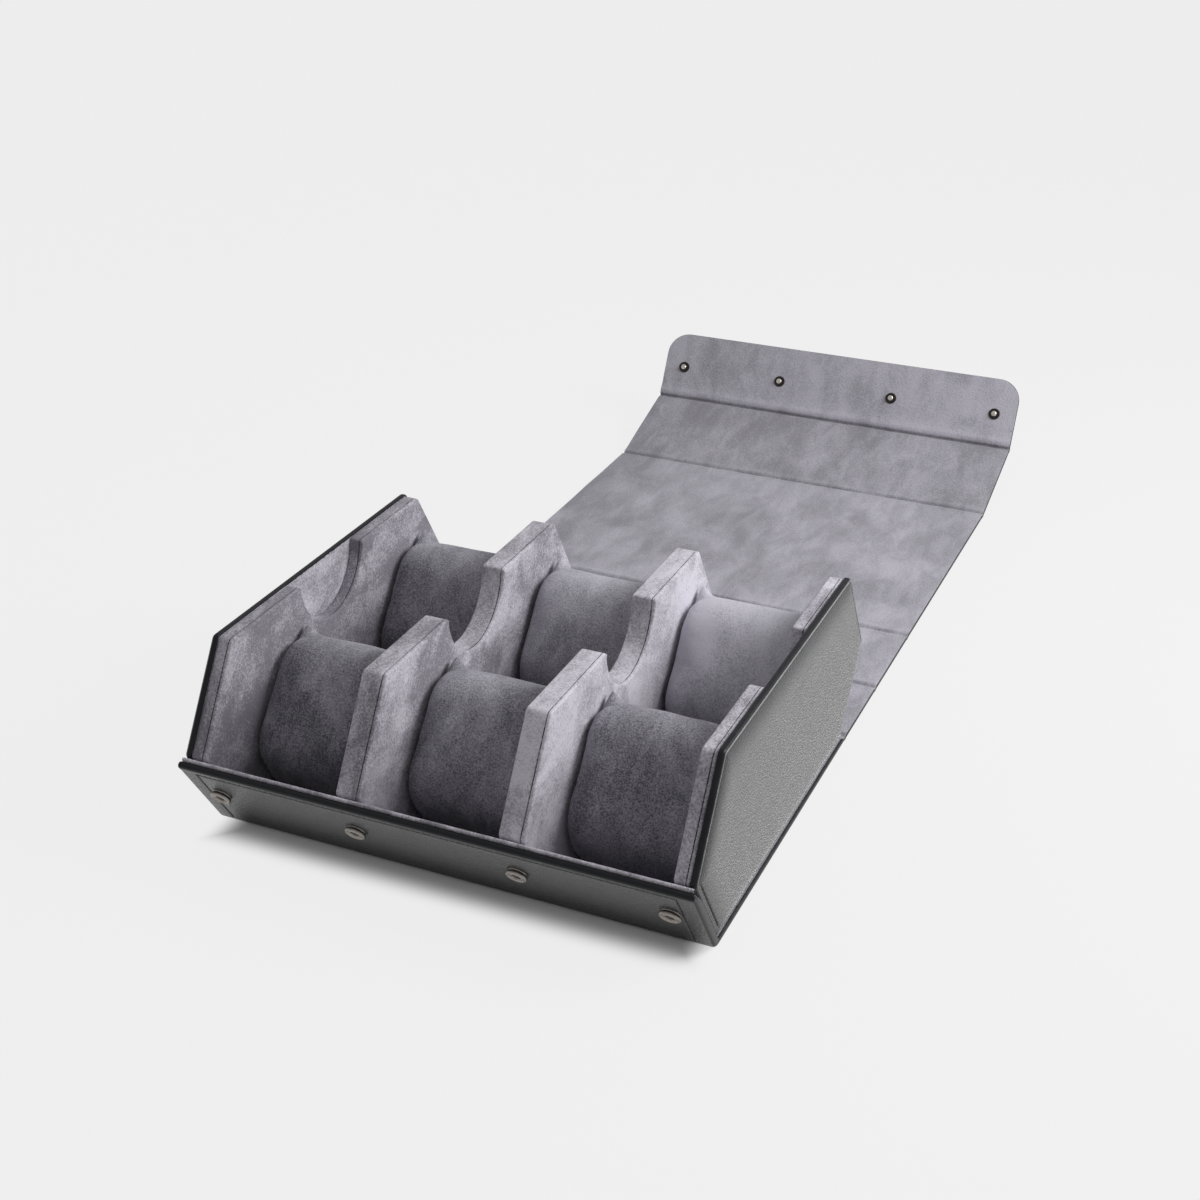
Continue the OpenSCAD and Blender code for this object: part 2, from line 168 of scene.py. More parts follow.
def crease_depth(x: Array, number: int) -> Array:
    """How uneven a fold's crease is pressed along its length, from about -1 to 1."""
    return ripple(x, x * 0, 50 + number, 24 * MM, 5)


@dataclass(frozen=True)
class CaseShape:
    """The frame's measures that the dressed pieces share."""

    half_w: float = 117.5 * MM
    foot_y: float = 83.5 * MM
    waist_y: float = 110 * MM
    top_y: float = 82 * MM
    floor_z: float = 3.4 * MM
    waist_z: float = 44.5 * MM
    top_z: float = 90 * MM
    leather: float = 1.2 * MM
    board: float = 1.4 * MM
    lining: float = 0.8 * MM
    inner_x: float = 37.4167 * MM
    lip_out: float = 5.2 * MM
    lip_gap: float = 0.4 * MM
    lip_rise: float = 1.0 * MM
    bend_r: float = 7 * MM
    row_down: float = 4.4 * MM
    row_in: float = 8.2 * MM
    row_foot: float = 3.4 * MM
    folds: tuple[float, ...] = (
        88.506662 * MM,
        139.94701 * MM,
        199.791574 * MM,
        369.826562 * MM,
        435.18681 * MM,
    )
    flap_l: float = 43.5 * MM
    front_rest: float = math.radians(16.6)
    flap_rest: float = math.radians(61.9)
    fold_reach: float = 2.5 * MM
    # Painted light and shade on the lid's suede: shade in the fold creases, each panel lighter or darker for
    # how it faces the light, and a highlight on the ridge past the flap's fold.
    crease_nap: float = 0.3
    top_nap: float = -0.06
    front_nap: float = -0.2
    flap_nap: float = 0.5
    ridge_nap: float = 0.16

    @property
    def fold_z(self) -> float:
        """Height of the flat folds, which lie on the leather's inner face."""
        return self.leather

    @property
    def lower_a(self) -> float:
        """Slope of the end panels' lower back edge."""
        return math.atan2(self.waist_z - self.floor_z, self.waist_y - self.foot_y)

    @property
    def upper_a(self) -> float:
        """Slope of the end panels' upper back edge."""
        return math.atan2(self.top_z - self.waist_z, self.top_y - self.waist_y)

    @property
    def slope_l(self) -> float:
        """Length of the end panels' lower edge."""
        return math.hypot(self.waist_y - self.foot_y, self.waist_z - self.floor_z)

    @property
    def lip_l(self) -> float:
        """Length of the lip up its face."""
        return self.slope_l + self.lip_rise

    @property
    def outward(self) -> Vector:
        """The lip's direction out of the case."""
        return Vector((0, -math.sin(self.lower_a), -math.cos(self.lower_a)))

    @property
    def upward(self) -> Vector:
        """The lip's direction up its face."""
        return Vector((0, -math.cos(self.lower_a), math.sin(self.lower_a)))

    def lip_places(self, out: Array, up: Array) -> tuple[Array, Array]:
        """Where points of the lip's own frame lie in the side view.

        Args:
            out: distances out of the case.
            up: distances up the lip.

        Returns:
            The points' places to the back and heights.
        """
        a = self.lower_a
        y = -self.foot_y - out * math.sin(a) - up * math.cos(a)
        return y, self.floor_z - out * math.cos(a) + up * math.sin(a)

    def lip_point(self, out: float, up: float) -> Vector:
        """One point of the lip's own frame, on the plane X = 0."""
        return Vector((0, *self.lip_places(out, up)))

    def lip_frame(self, y: Array, z: Array) -> tuple[Array, Array]:
        """Where points of the side view lie in the lip's own frame.

        Args:
            y: places to the back.
            z: heights.

        Returns:
            The points' distances into the case and up the lip.
        """
        a = self.lower_a
        dy, dz = y + self.foot_y, z - self.floor_z
        return dy * math.sin(a) + dz * math.cos(a), -dy * math.cos(a) + dz * math.sin(a)

    def facets(self, inset: float) -> list[tuple[Vector, Vector]]:
        """The four slopes of an end panel's outline.

        Args:
            inset: how far the outline is drawn in.

        Returns:
            A point and the outward direction of each: lower and upper back, lower and upper front.
        """
        slopes = (
            (self.foot_y, self.floor_z, self.lower_a),
            (self.waist_y, self.waist_z, self.upper_a),
        )
        planes = []
        for mirror in (1, -1):
            for y, z, angle in slopes:
                out = Vector((0, mirror * math.sin(angle), -math.cos(angle)))
                planes.append((Vector((0, mirror * y, z)) - inset * out, out))
        return planes

    def laid_out(self, run: Array, height: Array) -> tuple[Array, Array]:
        """Where points of the wrap lie with the lid thrown back.

        Args:
            run: distances along the wrap's flat layout, which is Y up to the fourth fold.
            height: distances above the leather's inner face.

        Returns:
            The points' places to the back and heights.
        """
        fold_4, fold_5 = self.folds[3], self.folds[4]
        reach = self.fold_reach
        at_5 = smooth((run - fold_5 + reach) / (2 * reach))
        at_4 = smooth((run - fold_4 + reach) / (2 * reach))
        y, z = turned(run, height, (fold_5, 0.0), at_5 * (self.flap_rest - self.front_rest))
        y, z = turned(y, z, (fold_4, 0.0), at_4 * self.front_rest)
        return y, z + self.fold_z

    def fold_dip(self, run: Array, width: float) -> Array:
        """How near places are to a fold's middle.

        Args:
            run: distances along the wrap.
            width: how far a fold reaches to either side.

        Returns:
            Shares from 0, off the folds, to 1.
        """
        near = np.zeros_like(run)
        for fold in self.folds:
            near = np.maximum(near, 1 - smooth(np.abs(run - fold) / width))
        return near

    def lid_nap(self, x: Array, run: Array) -> Array:
        """Painted light and shade on the lid's suede: shade in the folds' creases, each panel lighter or
        darker for how it faces the light, and a highlight on the ridge past the flap's fold.

        Args:
            x: places across.
            run: distances along the wrap.

        Returns:
            Shares to add to the suede's lightness.
        """
        shaded_creases = np.zeros_like(run)
        for number, fold in enumerate(self.folds):
            uneven = 1 + 0.55 * crease_depth(x, number)
            shaded_creases -= self.crease_nap * uneven * bell(run - fold + crease_path(x), 1.7 * MM)
        top = self.top_nap * smooth((run - self.folds[2]) / (40 * MM))
        front = self.front_nap * smooth((run - self.folds[3] + 2 * MM) / (8 * MM))
        flap = self.flap_nap * smooth((run - self.folds[4]) / (4 * MM))
        ridge = self.ridge_nap * bell(run - self.folds[4] - 4.6 * MM, 2.6 * MM)
        return shaded_creases + top + front + flap + ridge


SHAPE = CaseShape()


# Finishes


def tone(colour: Colour, share: float = 1.0) -> tuple[float, float, float, float]:
    """A colour made lighter or darker by a share, with full cover."""
    red, green, blue = colour
    return (red * share, green * share, blue * share, 1.0)


class Wiring:
    """The nodes of one material."""

    def __init__(self, name: str) -> None:
        """Starts a material with its shader and its object coordinates.

        Args:
            name: the material's name.
        """
        self.material = bpy.data.materials.new(name)
        self.material.use_nodes = True
        self.tree = self.material.node_tree
        self.tree.nodes.clear()
        self.output = self.tree.nodes.new("ShaderNodeOutputMaterial")
        self.shader = self.tree.nodes.new("ShaderNodeBsdfPrincipled")
        self.tree.links.new(self.shader.outputs[0], self.output.inputs["Surface"])
        self.coordinates = self.tree.nodes.new("ShaderNodeTexCoord").outputs["Object"]

    def node(self, kind: str, settings: dict | None = None, **inputs: object) -> bpy.types.Node:
        """Adds a node.

        Args:
            kind: the node's type.
            settings: properties of the node itself.
            inputs: values or sockets for its inputs, by name with _ for a space.

        Returns:
            The node.
        """
        made = self.tree.nodes.new(kind)
        for key, value in (settings or {}).items():
            setattr(made, key, value)
        for key, value in inputs.items():
            self.feed(made.inputs[key.replace("_", " ")], value)
        return made

    def feed(self, socket: Socket, value: object) -> None:
        """Links a socket, or sets its value.

        Args:
            socket: the input.
            value: an output to link, or a number or colour.
        """
        if isinstance(value, Socket):
            self.tree.links.new(value, socket)
        else:
            socket.default_value = value

    def sums(self, operation: str, first: object, second: object = 0, clamp: bool = False) -> Socket:
        """Works on two numbers.

        Args:
            operation: what is done with them.
            first: a number or socket.
            second: a number or socket.
            clamp: whether the result is kept from 0 to 1.

        Returns:
            The result.
        """
        made = self.node("ShaderNodeMath", {"operation": operation, "use_clamp": clamp})
        self.feed(made.inputs[0], first)
        self.feed(made.inputs[1], second)
        return made.outputs[0]

    def add(self, first: object, second: object, clamp: bool = False) -> Socket:
        """The sum of two numbers."""
        return self.sums("ADD", first, second, clamp)

    def times(self, first: object, second: object) -> Socket:
        """The product of two numbers."""
        return self.sums("MULTIPLY", first, second)

    def larger(self, first: object, second: object) -> Socket:
        """The larger of two numbers."""
        return self.sums("MAXIMUM", first, second)

    def stretched(self, scale: Sequence[float], turn: Sequence[float] = (0, 0, 0)) -> Socket:
        """Object coordinates, turned and stretched."""
        settings = {"Rotation": tuple(turn), "Scale": tuple(scale)}
        return self.node("ShaderNodeMapping", Vector=self.coordinates, **settings).outputs[0]

    def noise(
        self, scale: float, detail: float = 2, rough: float = 0.5, warp: float = 0, at: Socket | None = None
    ) -> Socket:
        """Adds a noise pattern.

        Args:
            scale: how many lumps stand in a metre.
            detail: how many finer layers it has.
            rough: how strong the finer layers are.
            warp: how far it is twisted.
            at: coordinates, if they aren't the object's own.

        Returns:
            The pattern's height.
        """
        made = self.node(
            "ShaderNodeTexNoise",
            Vector=at or self.coordinates,
            Scale=scale,
            Detail=detail,
            Roughness=rough,
            Distortion=warp,
        )
        return made.outputs["Fac"]

    def between(
        self, value: object, low: float, high: float, to_low: float = 0, to_high: float = 1
    ) -> Socket:
        """Maps a value's range softly on another.

        Args:
            value: the number or socket.
            low: where its range starts.
            high: where its range ends.
            to_low: what the start becomes.
            to_high: what the end becomes.

        Returns:
            The mapped value.
        """
        made = self.node("ShaderNodeMapRange", {"interpolation_type": "SMOOTHSTEP"})
        self.feed(made.inputs["Value"], value)
        for key, number in (("From Min", low), ("From Max", high), ("To Min", to_low), ("To Max", to_high)):
            made.inputs[key].default_value = number
        return made.outputs["Result"]

    def mixed(self, share: object, first: object, second: object) -> Socket:
        """Mixes two colours.

        Args:
            share: how much of the second shows.
            first: the first colour.
            second: the second colour.

        Returns:
            The mixed colour.
        """
        made = self.node("ShaderNodeMix", {"data_type": "RGBA"})
        self.feed(made.inputs[0], share)
        self.feed(made.inputs[6], first)
        self.feed(made.inputs[7], second)
        return made.outputs[2]

    def tag(self, name: str) -> Socket:
        """A number painted on the mesh's points."""
        return self.node("ShaderNodeAttribute", {"attribute_name": name}).outputs["Fac"]

    def bumped(self, height: Socket, strength: float, depth: float) -> None:
        """Raises the surface by a pattern."""
        made = self.node("ShaderNodeBump", Height=height, Strength=strength, Distance=depth)
        self.tree.links.new(made.outputs[0], self.shader.inputs["Normal"])

    def surface(self, **values: object) -> Material:
        """Sets the shader's own sockets.

        Args:
            values: numbers, colours or sockets by input name, with _ for a space.

        Returns:
            The material.
        """
        for key, value in values.items():
            self.feed(self.shader.inputs[key.replace("_", " ")], value)
        return self.material


@dataclass(frozen=True)
class Suede:
    """Brushed suede, lighter and darker in brushed patches and strokes, with painted light and shade added
    from a tag on the mesh.
    """

    name: str
    light: Colour
    dark: Colour
    patch: float = 30.0
    patch_share: float = 0.4
    stroke_share: float = 0.35
    stroke_scale: float = 2.8
    stroke_turn: float = 0.5
    speckle: float = 0.3
    clump_share: float = 0.16
    fibre: float = 1150.0
    tuft: float = 520.0
    seam_shade: float = 0.13
    relief: float = 0.7
    sheen: float = 0.3
    sheen_tint: Colour = (0.86, 0.84, 0.92)

    def material(self) -> Material:
        """Makes the suede.

        Returns:
            The material.
        """
        w = Wiring(self.name)
        slow = w.stretched((1, 0.7, 0.8), (0.2, 0, self.stroke_turn))
        brushed = w.stretched((1, 0.4, 0.55), (0.35, 0.1, self.stroke_turn))
        patches = w.noise(self.patch, detail=4, rough=0.52, warp=0.5, at=slow)
        strokes = w.noise(self.patch * self.stroke_scale, detail=4, rough=0.6, warp=0.6, at=brushed)
        fibres = w.noise(self.fibre, detail=3, rough=0.8, warp=0.3)
        clumps = w.noise(self.fibre * 0.5, detail=3, rough=0.7, warp=0.7)
        patches = w.times(w.between(patches, 0.36, 0.64), self.patch_share)
        strokes = w.times(w.between(strokes, 0.34, 0.66), self.stroke_share)
        fine, coarse = self.speckle, self.speckle * self.clump_share
        specks = w.between(fibres, 0.34, 0.66, -fine, fine)
        grain = w.add(specks, w.between(clumps, 0.32, 0.68, -coarse, coarse))
        slack = (1 - self.patch_share - self.stroke_share) / 2
        # Painted light and shade from the mesh's tag are added to the suede's lightness.
        level = w.add(w.add(w.add(patches, strokes), grain), w.add(slack, w.tag("nap")), clamp=True)
        colour = w.mixed(level, tone(self.dark), tone(self.light))
        tufts = w.between(w.noise(self.tuft, rough=0.6, warp=0.4), 0.4, 0.56, 0.35, 1)
        colour = w.mixed(w.times(w.tag("seam"), tufts), colour, tone(self.dark, self.seam_shade))
        height = w.add(w.times(fibres, self.relief), w.times(clumps, self.relief))
        w.bumped(height, 0.5, 0.6 * MM)
        return w.surface(
            Base_Color=colour,
            Roughness=0.95,
            Specular_IOR_Level=0.12,
            Sheen_Weight=self.sheen,
            Sheen_Roughness=0.45,
            Sheen_Tint=tone(self.sheen_tint),
        )


@dataclass(frozen=True)
class Leather:
    """Black grained leather, darker and smoother where it is turned over an edge."""

    name: str
    colour: Colour = (0.03, 0.03, 0.032)
    turned: Colour = (0.011, 0.0115, 0.014)
    worn: Colour = (0.13, 0.13, 0.135)
    sewn: Colour = (0.002, 0.002, 0.002)
    cell: float = 880.0
    rough: float = 0.36
    gloss: float = 0.8
    haze: float = 0.6
    grain: float = 1.0

    def material(self) -> Material:
        """Makes the leather.

        Returns:
            The material.
        """
        w = Wiring(self.name)
        rim, seam = w.tag("rim"), w.tag("seam")
        cells = w.node(
            "ShaderNodeTexVoronoi",
            {"feature": "SMOOTH_F1"},
            Vector=w.coordinates,
            Scale=self.cell,
            Smoothness=0.35,
        )
        distance = cells.outputs["Distance"]
        pores = w.noise(self.cell * 1.9, detail=3, rough=0.7)
        folds = w.noise(70, detail=4, rough=0.6, warp=0.8)
        shade = w.add(w.between(folds, 0.3, 0.75, 0, 0.5), w.between(distance, 0.15, 0.6, 0.5, 0))
        colour = w.mixed(shade, tone(self.colour, 0.72), tone(self.colour, 1.3))
        colour = w.mixed(rim, colour, tone(self.turned))
        scuffs = w.times(w.tag("wear"), w.between(w.noise(230, detail=3, rough=0.6), 0.42, 0.75))
        colour = w.mixed(w.times(scuffs, 0.4), colour, tone(self.worn))
        colour = w.mixed(w.times(seam, 0.85), colour, tone(self.sewn))
        height = w.add(w.times(distance, -0.9), w.times(pores, 0.35))
        w.bumped(w.times(height, w.between(rim, 0, 1, 1, 0.3)), self.grain, 0.35 * MM)
        rough = w.between(pores, 0.2, 0.8, self.rough - 0.05, self.rough + 0.06)
        rough = w.add(w.add(rough, w.times(rim, -0.04)), w.times(seam, 0.5))
        return w.surface(
            Base_Color=colour,
            Roughness=rough,
            Specular_IOR_Level=w.between(rim, 0, 1, self.gloss, self.gloss * 0.2),
            Sheen_Weight=w.between(rim, 0, 1, self.haze, 0),
            Sheen_Roughness=0.35,
        )


@dataclass(frozen=True)
class Thread:
    """Waxed sewing thread with its twist."""

    name: str
    colour: Colour

    def material(self) -> Material:
        """Makes the thread.

        Returns:
            The material.
        """
        w = Wiring(self.name)
        slanted = w.stretched((1, 1.8, 1), (0.5, 0.3, 0.6))
        twist = w.noise(3200, rough=0.6, warp=1.2, at=slanted)
        w.bumped(twist, 0.5, 0.12 * MM)
        colour = w.mixed(twist, tone(self.colour, 0.6), tone(self.colour, 1.5))
        return w.surface(Base_Color=colour, Roughness=0.55, Specular_IOR_Level=0.4)


@dataclass(frozen=True)
class Nickel:
    """Warm nickel plate, fine scratched by use, with painted shadow round the foot of a dome and a painted
    highlight on the dome.
    """

    name: str
    colour: Colour = (0.3, 0.275, 0.255)
    rough: float = 0.34

    def material(self) -> Material:
        """Makes the metal.

        Returns:
            The material.
        """
        w = Wiring(self.name)
        slanted = w.stretched((1, 3.5, 1), (0.4, 0.2, 0.7))
        scratches = w.noise(900, detail=4, rough=0.7, warp=0.4, at=slanted)
        tarnish = w.between(w.noise(420, detail=3, rough=0.6), 0.35, 0.7)
        colour = w.mixed(w.times(tarnish, 0.5), tone(self.colour), tone(self.colour, 0.55))
        # Painted shadow where the rim tag is set, on the stud's flange round the foot of its dome.
        colour = w.mixed(w.tag("rim"), colour, tone(self.colour, 0.16))
        # Painted highlight on the stud's dome; on leather the same tag marks real wear.
        colour = w.mixed(w.tag("wear"), colour, tone(self.colour, 2.3))
        w.bumped(scratches, 0.15, 0.06 * MM)
        rough = w.between(scratches, 0.25, 0.75, self.rough - 0.08, self.rough + 0.12)
        return w.surface(Base_Color=colour, Metallic=1.0, Roughness=rough)


@dataclass(frozen=True)
class FibreBoard:
    """Plain stiffening board, which the covers hide."""

    name: str
    colour: Colour = (0.42, 0.31, 0.2)

    def material(self) -> Material:
        """Makes the board.

        Returns:
            The material.
        """
        w = Wiring(self.name)
        fibres = w.noise(650, detail=5, rough=0.7, warp=0.5, at=w.stretched((1, 0.4, 1)))
        colour = w.mixed(fibres, tone(self.colour, 0.8), tone(self.colour, 1.15))
        w.bumped(fibres, 0.2, 0.1 * MM)
        return w.surface(Base_Color=colour, Roughness=0.85)


def once(finish: Suede | Leather | Thread | Nickel | FibreBoard) -> Material:
    """A field that makes a finish's material once."""
    return field(default_factory=finish.material)


@dataclass
class Finishes:
    """Every material of the case, made once."""

    leather: Material = once(Leather("Black grained leather", rough=0.31, gloss=0.95, haze=0.14))
    # The end panels' leather: finer grain, and a lighter colour and stronger sheen, a lit copy of the black
    # leather painted in for the glare on the lit end.
    end_leather: Material = once(
        Leather("Padded end leather", (0.058, 0.058, 0.06), cell=1250, haze=1.0, grain=1.1)
    )
    turned: Material = once(
        Leather(
            "Smooth turned leather", (0.011, 0.0115, 0.014), worn=(0.05, 0.05, 0.055),
            rough=0.4, gloss=1.0, haze=0.0, grain=0.3,
        )
    )
    suede: Material = once(
        Suede(
            "Tray suede", (0.62, 0.595, 0.66), (0.2, 0.19, 0.218),
            patch=48, patch_share=0.44, stroke_share=0.4, speckle=0.33,
        )
    )
    lid_suede: Material = once(
        Suede(
            "Lid suede", (0.43, 0.415, 0.465), (0.21, 0.203, 0.227),
            patch=26, stroke_share=0.3, stroke_scale=3.6, stroke_turn=1.0, speckle=0.25,
        )
    )
    cushion: Material = once(
        Suede(
            "Cushion suede", (0.5, 0.485, 0.54), (0.075, 0.073, 0.086),
            patch_share=0.22, stroke_share=0.2, speckle=0.24, fibre=1300,
        )
    )
    thread: Material = once(Thread("Black thread", (0.012, 0.012, 0.013)))
    # A raw leather edge, made pale as a painted highlight along the end panels' rim.
    raw_edge: Material = once(
        Leather(
            "Pale leather edge", (0.24, 0.24, 0.25),
            turned=(0.24, 0.24, 0.25), worn=(0.3, 0.3, 0.3), cell=1600, rough=0.35,
        )
    )
    nickel: Material = once(Nickel("Warm nickel"))
    board: Material = once(FibreBoard("Fibre board"))


# The workbench


def clear_bench() -> None:
    """Leaves edit mode and takes everything out of the selection."""
    if bpy.context.object and bpy.context.object.mode != "OBJECT":
        bpy.ops.object.mode_set(mode="OBJECT")
    bpy.ops.object.select_all(action="DESELECT")


def read(mesh: bpy.types.Mesh, what: str) -> Array:
    """Reads the places or normals of a mesh's points.

    Args:
        mesh: the mesh.
        what: "co" or "normal".

    Returns:
        One row of three numbers for each point.
    """
    flat = np.empty(len(mesh.vertices) * 3)
    mesh.vertices.foreach_get(what, flat)
    return flat.reshape(-1, 3)


class Workpiece:
    """One mesh on the bench, shaped by operators and finished by modifiers."""

    def __init__(self, name: str, obj: bpy.types.Object | None = None) -> None:
        """Takes an object, or the primitive just added, under a name.

        Args:
            name: the piece's name.
            obj: the object, if it isn't the primitive just added.
        """
        self.obj = obj or bpy.context.object
        self.obj.name = name
        self.obj.data.name = name

    @classmethod
    def block(cls, name: str, low: Sequence[float], high: Sequence[float]) -> Self:
        """Adds a block.

        Args:
            name: the piece's name.
            low: its lowest corner.
            high: its highest corner.

        Returns:
            The block.
        """
        clear_bench()
        lowest, highest = Vector(low), Vector(high)
        bpy.ops.mesh.primitive_cube_add(size=1, location=(lowest + highest) / 2, scale=highest - lowest)
        return cls(name).settled()

    @classmethod
    def rod(cls, name: str, radius: float, length: float, centre: Sequence[float], sides: int) -> Self:
        """Adds a round rod that lies across the case.

        Args:
            name: the piece's name.
            radius: its radius.
            length: its length.
            centre: its middle.
            sides: faces round it.

        Returns:
            The rod.
        """
        clear_bench()
        turn = (0, math.pi / 2, 0)
        bpy.ops.mesh.primitive_cylinder_add(
            vertices=sides, radius=radius, depth=length, location=centre, rotation=turn
        )
        return cls(name).settled()

    @classmethod
    def cloth(cls, name: str, columns: int, rows: int, place: Laying) -> Self:
        """A net of faces that is laid in shape.

        Args:
            name: the piece's name.
            columns: faces across.
            rows: faces along.
            place: gives the points' places from their column and row numbers.

        Returns:
            The sheet, with its normals as the net's.
        """
        clear_bench()
        bpy.ops.mesh.primitive_grid_add(x_subdivisions=columns, y_subdivisions=rows, size=1)
        piece = cls(name)
        flat = piece.points()
        across = np.rint((flat[:, 0] + 0.5) * columns).astype(int)
        along = np.rint((flat[:, 1] + 0.5) * rows).astype(int)
        piece.move_points(place(across, along))
        return piece

    @classmethod
    def copy_of(cls, name: str, source: bpy.types.Object) -> Self:
        """Copies a frame's solid and merges it at its seams.

        Args:
            name: the piece's name.
            source: the solid.

        Returns:
            The copy.
        """
        clear_bench()
        obj = bpy.data.objects.new(name, source.data.copy())
        bpy.context.scene.collection.objects.link(obj)
        return cls(name, obj).merged(0.00001)

    def activate(self) -> None:
        """Selects this piece alone."""
        clear_bench()
        self.obj.select_set(True)
        bpy.context.view_layer.objects.active = self.obj

    @contextmanager
    def editing(self, kind: Pick = Pick.FACES, action: str = "DESELECT") -> Iterator[bmesh.types.BMesh]:
        """Edit mode.

        Args:
            kind: what the operators act on.
            action: SELECT for everything, DESELECT for nothing.

        Yields:
            The piece's points, edges and faces.
        """
        self.activate()
        bpy.ops.object.mode_set(mode="EDIT")
        bpy.ops.mesh.select_mode(type=kind.value)
        bpy.ops.mesh.select_all(action=action)
        try:
            yield bmesh.from_edit_mesh(self.obj.data)
        finally:
            bpy.ops.object.mode_set(mode="OBJECT")

    def treated(self, operator: Callable[..., set[str]], **settings: object) -> Self:
        """Runs an operator on this piece alone.

        Args:
            operator: the operator.
            settings: its settings.

        Returns:
            The piece.
        """
        self.activate()
        operator(**settings)
        return self

    def worked(self, kind: Pick, operator: Callable[..., set[str]], **settings: object) -> Self:
        """Runs an operator on the whole mesh in edit mode.

        Args:
            kind: what it acts on.
            operator: the operator.
            settings: its settings.

        Returns:
            The piece.
        """
        with self.editing(kind, "SELECT"):
            operator(**settings)
        return self

    def choose(self, parts: Iterable, test: Callable[..., bool]) -> int:
        """Selects the edges or faces that pass a test.

        Args:
            parts: the mesh's edges or faces.
            test: whether one of them is wanted.

        Returns:
            How many there are.
        """
        chosen = [part for part in parts if test(part)]
        for part in chosen:
            part.select_set(True)
        bmesh.update_edit_mesh(self.obj.data)
        return len(chosen)

    def cut(self, point: Sequence[float], out: Sequence[float]) -> Self:
        """Saws off what lies past a plane, which is given by a point and its direction."""
        plane = {"plane_co": tuple(point), "plane_no": tuple(out)}
        return self.worked(Pick.FACES, bpy.ops.mesh.bisect, **plane, use_fill=True, clear_outer=True)

    def score(self, point: Sequence[float], out: Sequence[float]) -> Self:
        """Draws a line round the piece where a plane meets it."""
        return self.worked(Pick.FACES, bpy.ops.mesh.bisect, plane_co=tuple(point), plane_no=tuple(out))

    def round_edges(self, test: Callable[[bmesh.types.BMEdge], bool], width: float, steps: int) -> Self:
        """Bevels the edges that pass a test.

        Args:
            test: whether an edge is wanted.
            width: how far the bevel reaches.
            steps: faces across it.

        Returns:
            The piece.
        """
        with self.editing(Pick.EDGES) as mesh:
            if self.choose(mesh.edges, test):
                bpy.ops.mesh.bevel(
                    offset=width, offset_type="OFFSET", segments=steps, affect="EDGES", profile=0.5
                )
        return self

    def merged(self, reach: float = 1e-6) -> Self:
        """Joins points that lie on each other."""
        return self.worked(Pick.POINTS, bpy.ops.mesh.remove_doubles, threshold=reach)

    def capped(self) -> Self:
        """Closes the piece's open ends.

        Returns:
            The piece.
        """
        with self.editing(Pick.EDGES) as mesh:
            self.choose(mesh.edges, lambda e: e.is_boundary)
            bpy.ops.mesh.fill_holes(sides=0)
        return self

    def drill(self, cutter: "Workpiece") -> Self:
        """Takes another piece's shape out of this one.

        Args:
            cutter: the other piece, which goes.

        Returns:
            The piece.
        """
        self.finish_with("BOOLEAN", operation="DIFFERENCE", solver="EXACT", object=cutter.obj)
        bpy.data.objects.remove(cutter.obj)
        return self

    def finish_with(self, kind: str, **settings: object) -> Self:
        """Adds a modifier and applies it.

        Args:
            kind: the modifier's type.
            settings: its properties.

        Returns:
            The piece.
        """
        self.activate()
        modifier = self.obj.modifiers.new(kind.title(), kind)
        for key, value in settings.items():
            setattr(modifier, key, value)
        bpy.ops.object.modifier_apply(modifier=modifier.name)
        return self

    def settled(self) -> Self:
        """Puts the piece's place, turn and size in its mesh."""
        return self.treated(bpy.ops.object.transform_apply, location=True, rotation=True, scale=True)

    def points(self) -> Array:
        """The places of the piece's points."""
        return read(self.obj.data, "co")

    def move_points(self, places: Array) -> Self:
        """Moves the points.

        Args:
            places: their new places.

        Returns:
            The piece.
        """
        self.obj.data.vertices.foreach_set("co", np.ascontiguousarray(places, dtype=np.float32).ravel())
        self.obj.data.update()
        return self

    def paint(self, tag: str, values: Array) -> Self:
        """Paints a number on each point.

        Args:
            tag: what the number is for.
            values: the numbers.

        Returns:
            The piece.
        """
        layer = self.obj.data.attributes.get(tag) or self.obj.data.attributes.new(tag, "FLOAT", "POINT")
        layer.data.foreach_set("value", np.asarray(values, dtype=np.float32))
        return self

    def turned_out(self) -> Self:
        """Makes the faces point outwards."""
        return self.worked(Pick.FACES, bpy.ops.mesh.normals_make_consistent, inside=False)

    def softened(self, degrees: float = 40) -> Self:
        """Shades the piece smooth up to an angle."""
        return self.treated(bpy.ops.object.shade_smooth_by_angle, angle=math.radians(degrees))

    def dressed(self, material: Material, slot: str) -> Self:
        """Gives the piece its finish.

        Args:
            material: the finish.
            slot: not used.

        Returns:
            The piece.
        """
        self.obj.data.materials.clear()
        self.obj.data.materials.append(material)
        return self

    def edged(self, material: Material) -> Self:
        """Gives the faces that are turned over an edge a material of their own.

        Args:
            material: their finish.

        Returns:
            The piece.
        """
        mesh = self.obj.data
        mesh.materials.append(material)
        rim = np.array([v.value for v in mesh.attributes["rim"].data])
        for face in mesh.polygons:
            if rim[list(face.vertices)].mean() > 0.6:
                face.material_index = 1
        return self

    def rides(self, body: str, *nodes: str) -> Self:
        """Lets the piece move with a body.

        Args:
            body: the body.
            nodes: solids of the frame that the piece stands for.

        Returns:
            The piece.
        """
        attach(self.obj, body)
        if nodes:
            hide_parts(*nodes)
        log.info("%s rides on %s", self.obj.name, body)
        return self

    def bends(self, before: str, after: str, fold: float, *nodes: str) -> Self:
        """Keeps the piece at a fold between two bodies: bakes its place into its mesh, hides the frame's
        solids that it stands for and logs the two bodies.

        Args:
            before: the body on this side of the fold.
            after: the body past it.
            fold: the fold's distance along the wrap.
            nodes: solids of the frame that the piece stands for.

        Returns:
            The piece.
        """
        reach = SHAPE.fold_reach
        run = np.array([fold - reach, fold + reach])
        y, z = SHAPE.laid_out(run, np.zeros(2))
        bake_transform(self.obj)
        if nodes:
            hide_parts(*nodes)
        log.info("%s bends between %s and %s", self.obj.name, before, after)
        return self


# Leather wrap


